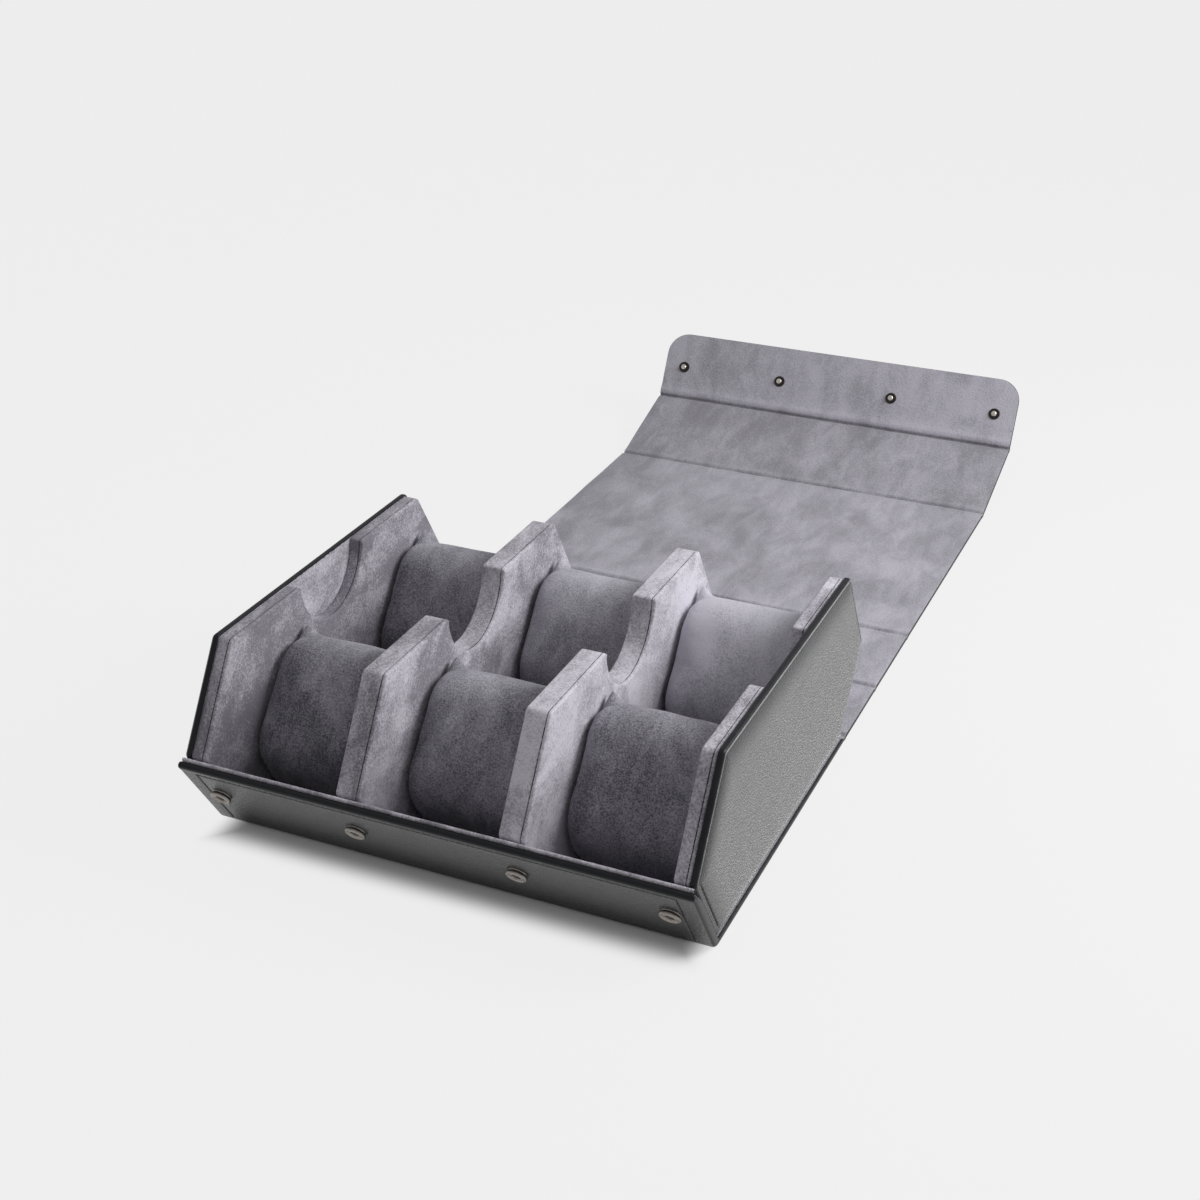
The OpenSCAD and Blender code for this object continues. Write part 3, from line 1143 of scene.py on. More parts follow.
@dataclass
class Skin:
    """Leather turned up at its two sides, drawn as stations along the wrap."""

    corner: float = 1.5 * MM
    lip_corner: float = 0.35 * MM
    turn_in: float = 1.1 * MM
    middle: int = 36
    thickness: float = 1.0 * MM
    seam_x: float = 0.0
    groove: float = 0.42 * MM
    groove_w: float = 0.5 * MM

    def profile(self, hem: float) -> tuple[Array, Array]:
        """The section across the wrap.

        Args:
            hem: height of the turned-up sides above the outer face.

        Returns:
            Places across and heights above the outer face, from left to right.
        """
        w, r, s = SHAPE.half_w, min(self.corner, hem * 0.6), min(self.lip_corner, hem * 0.2)
        arc = np.linspace(0, math.pi / 2, 6)
        side_x = np.concatenate([[-w + self.turn_in, -w + s, -w], -w + r - r * np.cos(arc)])
        side_n = np.concatenate([[hem, hem, hem - s], r - r * np.sin(arc)])
        across = np.linspace(-w + r, w - r, self.middle + 1)[1:-1]
        if self.seam_x:
            fine = self.seam_x + SEAM_STEPS
            plain = across[np.abs(np.abs(across) - self.seam_x) > 1.2 * MM]
            across = np.sort(np.concatenate([plain, fine, -fine]))
        return (
            np.concatenate([side_x, across, -side_x[::-1]]),
            np.concatenate([side_n, np.zeros(len(across)), side_n[::-1]]),
        )

    def sew(
        self, name: str, places: Array, inward: Array, hems: Array, below: Array | None = None
    ) -> Workpiece:
        """Makes the leather from its stations.

        Args:
            name: the piece's name.
            places: the outer face at each station, as rows of (y, z).
            inward: the direction to the inside at each station, as rows of (y, z).
            hems: the height of the turned-up sides at each station.
            below: how far each station lies below a row of stitches, if there is one.

        Returns:
            The leather, with its thickness.
        """
        sections = [self.profile(h) for h in hems]
        xs = np.array([s[0] for s in sections])
        ns = np.array([s[1] for s in sections])
        seam = np.zeros(xs.size)

        def place(column: Array, row: Array) -> Array:
            """Lays the net on the stations.

            Args:
                column: each point's column.
                row: each point's station.

            Returns:
                The points' places.
            """
            x, n = xs[row, column], ns[row, column].copy()
            if below is not None:
                seam[:] = self.pressed(x, below[row])
                n += self.groove * seam
            y = places[row, 0] + n * inward[row, 0]
            return np.column_stack([x, y, places[row, 1] + n * inward[row, 1]])

        piece = Workpiece.cloth(name, xs.shape[1] - 1, len(places) - 1, place)
        if below is not None:
            piece.paint("seam", seam)
        edge = smooth((np.abs(piece.points()[:, 0]) - SHAPE.half_w + 1.6 * MM) / (0.8 * MM))
        piece.paint("wear", edge).paint("rim", edge)
        piece.finish_with("SOLIDIFY", thickness=self.thickness, offset=self.way(piece, inward, places))
        return piece.turned_out().softened(50)

    def pressed(self, x: Array, below: Array) -> Array:
        """How deep the stitches press the leather.

        Args:
            x: places across.
            below: distances below the row along the lip's top.

        Returns:
            Shares from 0 to 1.
        """
        over = np.abs(x) - self.seam_x
        along_top = np.hypot(below, np.maximum(over, 0))
        down_side = np.hypot(over, np.minimum(below, 0))
        return np.nan_to_num(bell(np.fmin(along_top, down_side), self.groove_w))

    @staticmethod
    def way(piece: Workpiece, inward: Array, places: Array) -> float:
        """Which way the thickness has to grow so that it goes inwards.

        Args:
            piece: the leather without its thickness.
            inward: the direction to the inside at each station.
            places: the outer face at each station.

        Returns:
            -1 or 1.
        """
        halfway = len(places) // 2
        goal, step = places[halfway, 0], inward[halfway]
        middle = min(piece.obj.data.polygons, key=lambda f: abs(f.center.x) + abs(f.center.y - goal))
        return -1.0 if middle.normal.y * step[0] + middle.normal.z * step[1] < 0 else 1.0


@dataclass(frozen=True)
class Station:
    """A place on the tray leather's outer face, in the side view."""

    place: Vector
    inward: Vector
    hem: float
    below: float = math.inf


def along(start: float, end: float, step: float, close: Sequence[float] = (), near: float = 4 * MM) -> Array:
    """Stations between two places, closer together near some of them.

    Args:
        start: the first place.
        end: the last place.
        step: the usual distance.
        close: where they are closer together.
        near: how far that goes to either side.

    Returns:
        The stations in order.
    """
    least = 0.12 * MM
    count = max(2, int(round((end - start) / step)) + 1)
    stations = [np.linspace(start, end, count)]
    for place in close:
        fine = np.arange(place - near, place + near + 1e-9, 0.4 * MM)
        stations.append(fine[(fine > start + 1e-6) & (fine < end - 1e-6)])
    joined = np.sort(np.concatenate(stations))
    keep = np.concatenate([[True], np.diff(joined) > least])
    keep[-1] = True
    if keep[-2] and joined[-1] - joined[-2] < least:
        keep[-2] = False
    return joined[keep]


@dataclass
class Wrap:
    """The leather and its suede lining, from the front lip to the flap's fold."""

    finishes: Finishes
    cut: float = 4 * MM
    hem_n: float = 3.4 * MM
    lid_hem: float = 2.62 * MM
    edge: float = 0.2 * MM
    roll: float = 1.6 * MM
    roll_steps: int = 12
    bend_steps: int = 12
    tucks: tuple[float, ...] = (2.2 * MM, 1.1 * MM)
    above_row: float = -20 * MM
    fade: float = 7 * MM
    fold_zone: float = 12 * MM
    skin: Skin = field(default_factory=Skin)
    bodies: tuple[str, ...] = (
        "tray",
        "back_lower_panel",
        "back_upper_panel",
        "top_panel",
        "front_upper_panel",
        "snap_flap",
    )
    panels: tuple[str, ...] = ("back_lower", "back_upper", "top", "front_upper")

    def build(self) -> None:
        """Builds the tray's leather and floor, then the lid fold by fold."""
        self.tray_leather()
        self.floor_lining()
        for i, panel in enumerate(self.panels):
            fold, joined = SHAPE.folds[i], self.bodies[i : i + 2]
            start, end = fold - self.cut, SHAPE.folds[i + 1] - self.cut
            self.leather(f"{panel}_leather_skin", start, end).bends(*joined, fold, f"{panel}_leather")
            self.lining(f"{panel}_suede", start, end, i).bends(*joined, fold, f"{panel}_lining")
        fold = SHAPE.folds[4]
        start, end = fold - self.cut, fold + self.fold_zone
        self.leather("flap_fold_leather", start, end).bends(*self.bodies[4:], fold)
        self.lining("flap_fold_suede", start, end, 7).bends(*self.bodies[4:], fold)

    def lip_roll(self) -> list[Station]:
        """The leather's end behind the lip, and the roll over the lip's top.

        Returns:
            The stations, from inside the case to the face.
        """
        outward, upward, r = SHAPE.outward, SHAPE.upward, self.roll
        centre = SHAPE.lip_point(SHAPE.lip_out - r, SHAPE.lip_l - r)
        stations = [
            Station(centre - r * outward - back * upward, outward, r, self.above_row) for back in self.tucks
        ]
        for k in range(self.roll_steps + 1):
            t = math.pi * (1 - k / self.roll_steps)
            ray = math.cos(t) * outward + math.sin(t) * upward
            below = self.above_row if k < self.roll_steps else r - SHAPE.row_down
            stations.append(Station(centre + r * ray, -ray, r, below))
        return stations

    def lip_face(self, low: float) -> list[Station]:
        """The leather down the lip's face.

        Args:
            low: how far up the lip the bend starts.

        Returns:
            The stations, from the roll down.
        """
        out, top, row = SHAPE.lip_out, SHAPE.lip_l, SHAPE.row_down
        ups = np.linspace(top - self.roll, low, 26)[1:]
        plain = ups[np.abs(ups - top + row) > 1.1 * MM]
        ups = np.sort(np.concatenate([plain, top - row + SEAM_STEPS]))[::-1]
        stations = []
        for up in ups:
            near_top = 1 - smooth(np.array((top - self.roll - up) / (11 * MM)))
            hem = out - SHAPE.lip_gap - 1.5 * MM * float(near_top)
            stations.append(Station(SHAPE.lip_point(out, up), -SHAPE.outward, hem, top - row - up))
        return stations

    def lip_bend(self, centre: Vector, below: float) -> list[Station]:
        """The leather round the bend under the lip.

        Args:
            centre: the bend's middle.
            below: how far the last station lies below the row of stitches.

        Returns:
            The stations, from the lip to the floor.
        """
        a, r = SHAPE.lower_a, SHAPE.bend_r
        stations = []
        for k in range(1, self.bend_steps + 1):
            share = k / self.bend_steps
            t = a * (1 - share)
            ray = Vector((0, -math.sin(t), -math.cos(t)))
            below += a / self.bend_steps * r
            hem = (SHAPE.lip_out - SHAPE.lip_gap) * (1 - share) + self.hem_n * share
            stations.append(Station(centre + r * ray, -ray, hem, below))
        return stations

    def tray_leather(self) -> None:
        """The leather over the lip's top, down its face, round the bend and under the floor."""
        a, r, top = SHAPE.lower_a, SHAPE.bend_r, SHAPE.lip_l
        foot = SHAPE.lip_point(SHAPE.lip_out, 0)
        corner_y = foot.y + foot.z / math.tan(a)
        bend = Vector((0, corner_y + r * math.tan(a / 2), r))
        bend_up = (bend + r * SHAPE.outward - foot).dot(SHAPE.upward)
        stations = self.lip_roll() + self.lip_face(bend_up)
        stations += self.lip_bend(bend, stations[-1].below)
        for y in np.linspace(bend.y, SHAPE.folds[0] - self.cut, 20)[1:]:
            stations.append(Station(Vector((0, y, 0)), Vector((0, 0, 1)), self.hem_n))
        places = np.array([(s.place.y, s.place.z) for s in stations])
        inward = np.array([(s.inward.y, s.inward.z) for s in stations])
        hems = np.array([s.hem for s in stations])
        low_end = top - SHAPE.row_down - SHAPE.row_foot
        below = np.array([s.below if s.below < low_end else math.nan for s in stations])
        skin = Skin(seam_x=SHAPE.half_w - SHAPE.row_in)
        piece = skin.sew("tray_leather_skin", places, inward, hems, below)
        co = piece.points()
        _, up = SHAPE.lip_frame(co[:, 1], co[:, 2])
        rolled = smooth((up - (top - 3.4 * MM)) / (1.2 * MM)) * (co[:, 1] < -SHAPE.foot_y)
        side = smooth((np.abs(co[:, 0]) - SHAPE.half_w + 1.2 * MM) / (0.8 * MM))
        piece.paint("rim", np.maximum(rolled, side)).paint("wear", np.maximum(rolled * 0.3, side * 0.5))
        piece.dressed(self.finishes.leather, "leather").edged(self.finishes.turned)
        piece.rides("tray", "tray_leather")

    def leather(self, name: str, start: float, end: float) -> Workpiece:
        """A length of the lid's leather.

        Args:
            name: the piece's name.
            start: where it starts along the wrap.
            end: where it ends.

        Returns:
            The leather.
        """
        runs = along(start, end, 6 * MM, SHAPE.folds)
        step = np.full(len(runs), 1.0 * MM)
        y0, z0 = SHAPE.laid_out(runs, np.full(len(runs), -SHAPE.leather))
        y1, z1 = SHAPE.laid_out(runs, -SHAPE.leather + step)
        inward = np.column_stack([y1 - y0, z1 - z0]) / (1.0 * MM)
        first = 1 - smooth((runs - SHAPE.folds[0] + self.cut) / (1.5 * MM))
        hems = self.lid_hem + (self.hem_n - self.lid_hem) * first
        hems -= 0.95 * MM * SHAPE.fold_dip(runs, 2.6 * MM)
        piece = self.skin.sew(name, np.column_stack([y0, z0]), inward, hems)
        return piece.dressed(self.finishes.leather, "leather").edged(self.finishes.turned)

    def lining_height(self, x: Array, run: Array, start: float, end: float, seed: int) -> Array:
        """Height of the suede above the leather's inner face, with its pressed folds and soft waves.

        Args:
            x: places across.
            run: distances along the wrap.
            start: run at which this length of suede starts.
            end: run at which it ends.
            seed: picks the waves.

        Returns:
            The heights.
        """
        fade = smooth((run - start) / self.fade) * smooth((end - run) / self.fade)
        waves = ripple(x, run, seed, 34 * MM) * 0.16 * MM * fade
        height = SHAPE.board + SHAPE.lining + waves
        wander = crease_path(x)
        for number, fold in enumerate(SHAPE.folds[:4]):
            gap = np.abs(run - fold + wander)
            pressed = 1 + 0.22 * crease_depth(x, number)
            height -= 1.0 * MM * pressed * (1 - smooth(gap / (2.2 * MM)))
            height += 0.24 * MM * bell(gap - 3.2 * MM, 1.4 * MM) * (1 + 0.6 * ripple(x, run, 5, 14 * MM, 5))
        fold = SHAPE.folds[4]
        pucker = ripple(x, run * 0.4, 31, 10 * MM, 7)
        groove = 1 - smooth(np.abs(run - fold + 0.7 * wander) / (2.8 * MM))
        height -= 0.75 * MM * groove * (1 + 0.3 * pucker)
        height += 0.8 * MM * bell(run - fold - 4.8 * MM + wander, 2.7 * MM) * (1 + 0.14 * pucker)
        height += 0.3 * MM * pucker * bell(run - fold + 4.2 * MM, 3.0 * MM)
        return height

    def lining(self, name: str, start: float, end: float, seed: int) -> Workpiece:
        """A length of the lid's suede.

        Args:
            name: the piece's name.
            start: where it starts along the wrap.
            end: where it ends.
            seed: picks its waves.

        Returns:
            The suede.
        """
        runs = along(start, end, 3 * MM, SHAPE.folds, 6 * MM)
        half = SHAPE.half_w - self.edge
        xs = np.linspace(-half, half, 97)
        painted_lights = np.zeros(len(xs) * len(runs))

        def place(column: Array, row: Array) -> Array:
            """Lays the suede on the board.

            Args:
                column: each point's column.
                row: each point's row.

            Returns:
                The points' places.
            """
            x, run = xs[column], runs[row]
            edge = 0.2 * MM * smooth((np.abs(x) - half + 1.2 * MM) / (1.2 * MM))
            y, z = SHAPE.laid_out(run, self.lining_height(x, run, start, end, seed) - edge)
            # Painted light and shade for the suede's colour, by place along the wrap.
            painted_lights[:] = SHAPE.lid_nap(x, run)
            return np.column_stack([x, y, z])

        piece = Workpiece.cloth(name, len(xs) - 1, len(runs) - 1, place).paint("nap", painted_lights)
        piece.finish_with("SOLIDIFY", thickness=SHAPE.lining, offset=-1.0)
        return piece.turned_out().softened(60).dressed(self.finishes.lid_suede, "suede")

    def floor_lining(self) -> None:
        """The suede over the tray's floor."""
        half = SHAPE.half_w - 1.05 * MM
        xs = np.linspace(-half, half, 60)
        ys = np.linspace(-SHAPE.foot_y, SHAPE.folds[0] - self.cut, 44)

        def place(column: Array, row: Array) -> Array:
            """Lays the suede on the floor board.

            Args:
                column: each point's column.
                row: each point's row.

            Returns:
                The points' places.
            """
            x, y = xs[column], ys[row]
            fade = smooth((ys[-1] - y) / self.fade)
            return np.column_stack([x, y, SHAPE.floor_z + ripple(x, y, 3, 30 * MM) * 0.1 * MM * fade])

        piece = Workpiece.cloth("floor_suede", len(xs) - 1, len(ys) - 1, place)
        piece.finish_with("SOLIDIFY", thickness=SHAPE.lining, offset=-1.0)
        piece.turned_out().softened().dressed(self.finishes.lid_suede, "suede").rides("tray", "floor_lining")


# Stitches


@dataclass
class StitchRun:
    """A straight row of stitches lying in a line on the leather."""

    name: str
    start: Vector
    end: Vector
    up: Vector
    pitch: float = 2.5 * MM
    length: float = 1.75 * MM
    width: float = 0.6 * MM
    height: float = 0.42 * MM
    pinch: float = 0.45
    arch: float = 0.12

    def sew(self, material: Material, body: str) -> Workpiece:
        """Makes one stitch and repeats it along the row.

        Args:
            material: the thread.
            body: the body that the row rides on.

        Returns:
            The row of stitches.
        """
        run = self.end - self.start
        count = max(1, int(run.length / self.pitch))
        ahead = run.normalized()
        across = self.up.cross(ahead).normalized()
        frame = Matrix((ahead, across, self.up.normalized())).transposed().to_4x4()
        frame.translation = self.start + ahead * self.pitch / 2
        clear_bench()
        bpy.ops.mesh.primitive_uv_sphere_add(segments=8, ring_count=6, radius=0.5)
        piece = Workpiece(self.name)
        co = piece.points()
        co[:, 1] *= 1 - self.pinch * (2 * co[:, 0]) ** 2
        co[:, 2] += self.arch * np.cos(math.pi * co[:, 0])
        co *= np.array([self.length, self.width, self.height])
        piece.move_points(co)
        piece.obj.matrix_world = frame
        piece.settled()
        if count > 1:
            piece.finish_with(
                "ARRAY",
                count=count,
                use_relative_offset=False,
                use_constant_offset=True,
                constant_offset_displace=ahead * (run.length / count),
            )
        return piece.softened().dressed(material, "leather").rides(body)


# End panels and dividers


@dataclass
class EndPanel:
    """An end of the tray: a padded leather face with a turned rim, and its suede lining."""

    side: Side
    finishes: Finishes
    thickness: float = 4 * MM
    corner_r: float = 3 * MM
    least_r: float = 0.25 * MM
    rim_r: float = 1.25 * MM
    sunk: float = 1.15 * MM
    back_r: float = 0.5 * MM
    per_corner: int = 6
    per_side: int = 10
    pad: tuple[Pair, ...] = (
        (1.5, 1.12), (1.75, 1.02), (2.15, 0.86), (2.5, 0.75), (2.8, 0.67), (3.1, 0.6), (3.4, 0.53),
        (3.7, 0.47), (4.1, 0.4), (5.2, 0.24), (6.4, 0.12), (8.0, 0.04), (10.0, 0.01), (14.0, 0.0),
        (18.0, 0.0), (22.0, 0.0), (30.0, 0.0),
    )
    press: float = 0.4 * MM
    press_w: float = 0.42 * MM
    stitch_in: float = 3.1 * MM
    stitch_low: float = 4.2 * MM
    stitch_high: float = 2.0 * MM
    shade: float = 0.59
    shade_w: float = 18 * MM
    edge_line_r: float = 0.34 * MM
    edge_line_sides: int = 8

    @property
    def outer_x(self) -> float:
        """Place of the padded face."""
        return self.side.value * SHAPE.half_w

    def corners(self, inset: float) -> list[Vector]:
        """The hexagon's corners.

        Args:
            inset: how far the outline is drawn in.

        Returns:
            The corners, from the front foot round over the top.
        """
        back_low, back_high, front_low, front_high = SHAPE.facets(inset)
        foot = (Vector((0, 0, SHAPE.floor_z + inset)), Vector((0, 0, -1)))
        top = (Vector((0, 0, SHAPE.top_z - inset)), Vector((0, 0, 1)))
        ring = [foot, front_low, front_high, top, back_high, back_low]
        points = []
        for (p, n), (q, m) in zip(ring, ring[1:] + ring[:1]):
            det = n.y * m.z - n.z * m.y
            a, b = n.dot(p), m.dot(q)
            points.append(Vector((0, (a * m.z - b * n.z) / det, (n.y * b - m.y * a) / det)))
        return points

    def rounding(
        self, corners: list[Vector], number: int, inset: float
    ) -> tuple[Vector, Vector, Vector, float]:
        """The round of one corner.

        Args:
            corners: the outline's corners.
            number: which corner it is.
            inset: how far the outline is drawn in.

        Returns:
            The round's middle, its start, its end and its radius.
        """
        corner = corners[number]
        before = (corners[number - 1] - corner).normalized()
        after = (corners[(number + 1) % len(corners)] - corner).normalized()
        half = before.angle(after) / 2
        off_floor = SHAPE.floor_z + 1 * MM < corner.z - inset
        r = max(self.corner_r - inset, self.least_r) if off_floor else self.least_r
        reach = r / math.tan(half)
        centre = corner + (before + after).normalized() * (r / math.sin(half))
        return centre, corner + before * reach, corner + after * reach, r

    def ring(self, inset: float) -> Array:
        """The outline with round corners.

        Args:
            inset: how far it is drawn in.

        Returns:
            Its points as rows of (y, z).
        """
        corners = self.corners(inset)
        rounds = [self.rounding(corners, number, inset) for number in range(len(corners))]
        outline = []
        for (centre, start, end, r), following in zip(rounds, rounds[1:] + rounds[:1]):
            for t in np.linspace(0, 1, self.per_corner):
                ray = (start - centre).slerp(end - centre, float(t)).normalized()
                outline.append(centre + ray * r)
            begin = outline[-1]
            for t in np.linspace(0, 1, self.per_side + 1)[1:-1]:
                outline.append(begin.lerp(following[1], float(t)))
        return np.array([(p.y, p.z) for p in outline])

    def section(self) -> list[Pair]:
        """The leather's section from inside its pan, round the rim and over the pad.

        Returns:
            Its points as (inset, depth behind the padded face).
        """
        t, r, b = self.thickness, self.rim_r, self.back_r
        rows = [(2.2 * MM, 1.15 * MM), (1.0 * MM, 1.15 * MM), (0.95 * MM, t - 0.05 * MM)]
        rows += [(b - b * math.sin(k), t - b + b * math.cos(k)) for k in np.linspace(0, math.pi / 2, 4)]
        rows += [(0.0, (self.sunk + r + t - b) / 2)]
        rim = np.linspace(0, math.pi / 2, 7)
        rows += [(r - r * math.cos(k), self.sunk + r - r * math.sin(k)) for k in rim]
        return rows + [(d * MM, x * MM) for d, x in self.pad]

    def pressed(self, yz: Array) -> Array:
        """How deep the stitches press the leather.

        Args:
            yz: places in the side view, as rows.

        Returns:
            Shares from 0 to 1.
        """
        inset, up = SHAPE.lip_frame(yz[:, 0], yz[:, 1])
        ends = np.maximum(np.maximum(4 * MM - up, up - SHAPE.slope_l + 2.4 * MM), 0)
        return bell(np.hypot(inset - self.stitch_in, ends), self.press_w)

    def build(self) -> None:
        """Builds the leather, its pale edge line, its stitches and its lining."""
        self.leather()
        self.edge_line()
        self.stitch_row()
        self.lining()

    def leather(self) -> None:
        """The leather pan with its turned rim and its padded face."""
        section = self.section()
        rings = np.array([self.ring(inset) for inset, _ in section])
        depths = np.array([depth for _, depth in section])
        count = rings.shape[1]

        def place(column: Array, row: Array) -> Array:
            """Lays the net round the outline.

            Args:
                column: each point's place round the outline.
                row: each point's ring.

            Returns:
                The points' places.
            """
            yz = rings[row, column % count]
            depth = depths[row] + self.press * self.pressed(yz)
            return np.column_stack([self.outer_x - self.side.value * depth, yz[:, 0], yz[:, 1]])

        piece = Workpiece.cloth(f"{self.side.word}_end_leather_skin", count, len(rings) - 1, place)
        piece.merged().capped()
        self.colour_in(piece)
        piece.turned_out().softened(40).dressed(self.finishes.end_leather, "leather")
        piece.edged(self.finishes.turned).rides("tray", f"{self.side.word}_end_leather")

    def colour_in(self, piece: Workpiece) -> None:
        """Paints the rim, a band of painted shade inside it, where the padded face curves away, and the
        pressed line of stitches.

        Args:
            piece: the leather.
        """
        co = piece.points()
        rim = smooth(((self.outer_x - co[:, 0]) * self.side.value - self.sunk + 0.12 * MM) / (0.3 * MM))
        face = (np.abs(co[:, 0]) > SHAPE.half_w - 1.1 * MM) * 1.0
        front = SHAPE.facets(0)[2:]
        inner = np.array([min((p - Vector((0, y, z))).dot(n) for p, n in front) for _, y, z in co])
        inner = np.minimum(inner, SHAPE.top_z - co[:, 2])
        # Painted shade: a band inside the rim gets the rim's darker, less glossy finish.
        shaded = self.shade * (1 - smooth((inner - 3 * MM) / self.shade_w))
        piece.paint("rim", np.maximum(rim, shaded)).paint("wear", rim * 0.35)
        piece.paint("seam", self.pressed(co[:, 1:]) * face)

    def edge_line(self) -> None:
        """The pale line round the rim, from the front waist over the top to the back: a raw edge and a
        painted highlight on the rim's ridge, drawn only on the upper part, where the light catches it.
        """
        path = self.ring(self.rim_r * 0.9)
        high = path[:, 1] > SHAPE.waist_z - 2.5 * MM
        first = int(np.argmax(high & ~np.roll(high, 1)))
        path = np.roll(path, -first, axis=0)[: int(high.sum())]
        ahead = np.gradient(path, axis=0)
        ahead /= np.linalg.norm(ahead, axis=1, keepdims=True)
        across = np.column_stack([-ahead[:, 1], ahead[:, 0]])
        taper = smooth(np.minimum(np.arange(len(path)), np.arange(len(path))[::-1]) / 2 + 0.2)
        sides = self.edge_line_sides

        def place(column: Array, row: Array) -> Array:
            """Lays the net round the line.

            Args:
                column: each point's place round the line.
                row: each point's place along it.

            Returns:
                The points' places.
            """
            angle = column / sides * 2 * math.pi
            r = self.edge_line_r * taper[row]
            yz = path[row] + across[row] * (r * np.cos(angle))[:, None]
            x = self.outer_x - self.side.value * (self.sunk + 0.02 * MM) + r * np.sin(angle)
            return np.column_stack([x, yz[:, 0], yz[:, 1]])

        piece = Workpiece.cloth(f"{self.side.word}_end_edge_line", sides, len(path) - 1, place)
        piece.merged(1e-7).capped()
        piece.turned_out().softened(60).dressed(self.finishes.raw_edge, "leather").rides("tray")

    def stitch_row(self) -> None:
        """The stitches beside the front lower edge."""
        s, inset = self.side.value, self.stitch_in
        foot = Vector((0, -SHAPE.foot_y, SHAPE.floor_z)) - inset * SHAPE.outward
        waist = Vector((0, -SHAPE.waist_y, SHAPE.waist_z)) - inset * SHAPE.outward
        ahead = (waist - foot).normalized()
        face = Vector((self.outer_x - s * 0.86 * MM, 0, 0))
        low, high = foot + face + self.stitch_low * ahead, waist + face - self.stitch_high * ahead
        row = StitchRun(f"{self.side.word}_end_stitches", low, high, Vector((s, 0, 0)))
        row.sew(self.finishes.thread, "tray")

    def lining(self) -> None:
        """The suede on the panel's inner side, whose raw edge shows in the finger notch."""
        depths = (self.thickness - 0.8 * MM, self.thickness + 0.02 * MM)
        xs = sorted(self.outer_x - self.side.value * d for d in depths)
        inset, waist = 0.95 * MM, SHAPE.waist_y
        name = f"{self.side.word}_end_suede"
        piece = Workpiece.block(name, (xs[0], -waist, SHAPE.floor_z), (xs[1], waist, SHAPE.top_z - inset))
        for point, out in SHAPE.facets(inset):
            piece.cut(point, out)
        piece.round_edges(lambda e: abs(e.verts[0].co.x - e.verts[1].co.x) > 0.3 * MM, 1.4 * MM, 5)
        for y in np.linspace(-30, 30, 31) * MM:
            piece.score((0, y, 0), (0, 1, 0))
        co = piece.points()
        top = co[:, 2] > SHAPE.top_z - 1.2 * MM
        co[:, 2] += top * (ripple(co[:, 1], co[:, 0], 11, 3 * MM, 6) * 0.22 * MM + 0.1 * MM)
        piece.move_points(co).softened().dressed(self.finishes.suede, "suede")
        piece.rides("tray", f"{self.side.word}_end_lining")


@dataclass
class Divider:
    """A suede covered wall with a finger notch and a sewn band along its edge."""

    name: str
    x: float
    thickness: float
    finishes: Finishes
    # Painted light: how much lighter or darker the wall's suede is painted, for how much light reaches it.
    nap: float = 0.0
    inset: float = 0.8 * MM
    notch_r: float = 27 * MM
    ridge: float = 1.5 * MM
    seam: float = 0.55 * MM
    seam_depth: float = 0.5 * MM
    edge_r: float = 0.9 * MM
    corner_r: float = 1.7 * MM

    @property
    def seam_edges(self) -> Pair:
        """Where the seam's two sides lie, from the wall's middle."""
        outer = self.thickness / 2 - self.ridge
        return outer, outer - self.seam

    @property
    def seam_x(self) -> float:
        """Where the seam's middle lies, from the wall's middle."""
        return sum(self.seam_edges) / 2

    def build(self) -> None:
        """Builds the cover with its notch, its seam and its soft edges."""
        half, name = self.thickness / 2, f"{self.name}_suede"
        low = (self.x - half, -SHAPE.waist_y, SHAPE.floor_z)
        piece = Workpiece.block(name, low, (self.x + half, SHAPE.waist_y, SHAPE.top_z - self.inset))
        for point, out in SHAPE.facets(self.inset):
            piece.cut(point, out)
        middle = (self.x, 0, SHAPE.top_z)
        piece.drill(Workpiece.rod("notch", self.notch_r, self.thickness * 2, middle, 96))
        piece.round_edges(self.is_corner, self.corner_r, 5)
        for edge in self.seam_edges:
            piece.score((self.x + edge, 0, 0), (1, 0, 0))
        with piece.editing() as mesh:
            piece.choose(mesh.faces, self.is_seam)
            bpy.ops.mesh.inset(thickness=0.07 * MM, depth=-self.seam_depth, use_boundary=True)
        piece.round_edges(self.is_rim, self.edge_r, 4)
        co = piece.points()
        aside = np.abs(co[:, 0] - self.x - self.seam_x)
        # The whole wall is painted lighter or darker as light and shade.
        piece.paint("seam", (aside < self.seam * 0.42) * 1.0).paint("nap", np.full(len(co), self.nap))
        piece.softened(38).dressed(self.finishes.suede, "suede").rides("tray", f"{self.name}_cover")

    def is_corner(self, edge: bmesh.types.BMEdge) -> bool:
        """Whether an edge is one of the outline's corners above the floor."""
        straight = abs(edge.verts[0].co.x - edge.verts[1].co.x) > self.thickness * 0.9
        return straight and edge.verts[0].co.z > SHAPE.floor_z + 1 * MM and edge.calc_face_angle(0) > 0.3

    def is_seam(self, face: bmesh.types.BMFace) -> bool:
        """Whether a face lies in the seam, off the floor.

        Args:
            face: the face.

        Returns:
            True in the seam.
        """
        c = face.calc_center_median()
        beside = abs(c.x - self.x - self.seam_x) < self.seam * 0.45
        return beside and abs(face.normal.x) < 0.5 and c.z > SHAPE.floor_z + 0.5 * MM

    def is_rim(self, edge: bmesh.types.BMEdge) -> bool:
        """Whether an edge is a rim of the wall's two sides, off the floor.

        Args:
            edge: the edge.

        Returns:
            True on a rim.
        """
        one, other = (v.co for v in edge.verts)
        beside = all(abs(abs(c.x - self.x) - self.thickness / 2) < 1e-6 for c in (one, other))
        off_floor = max(one.z, other.z) > SHAPE.floor_z + 0.5 * MM
        return beside and off_floor and abs(one.x - other.x) < 1e-6 and edge.calc_face_angle(0) > 0.5


# Front lip


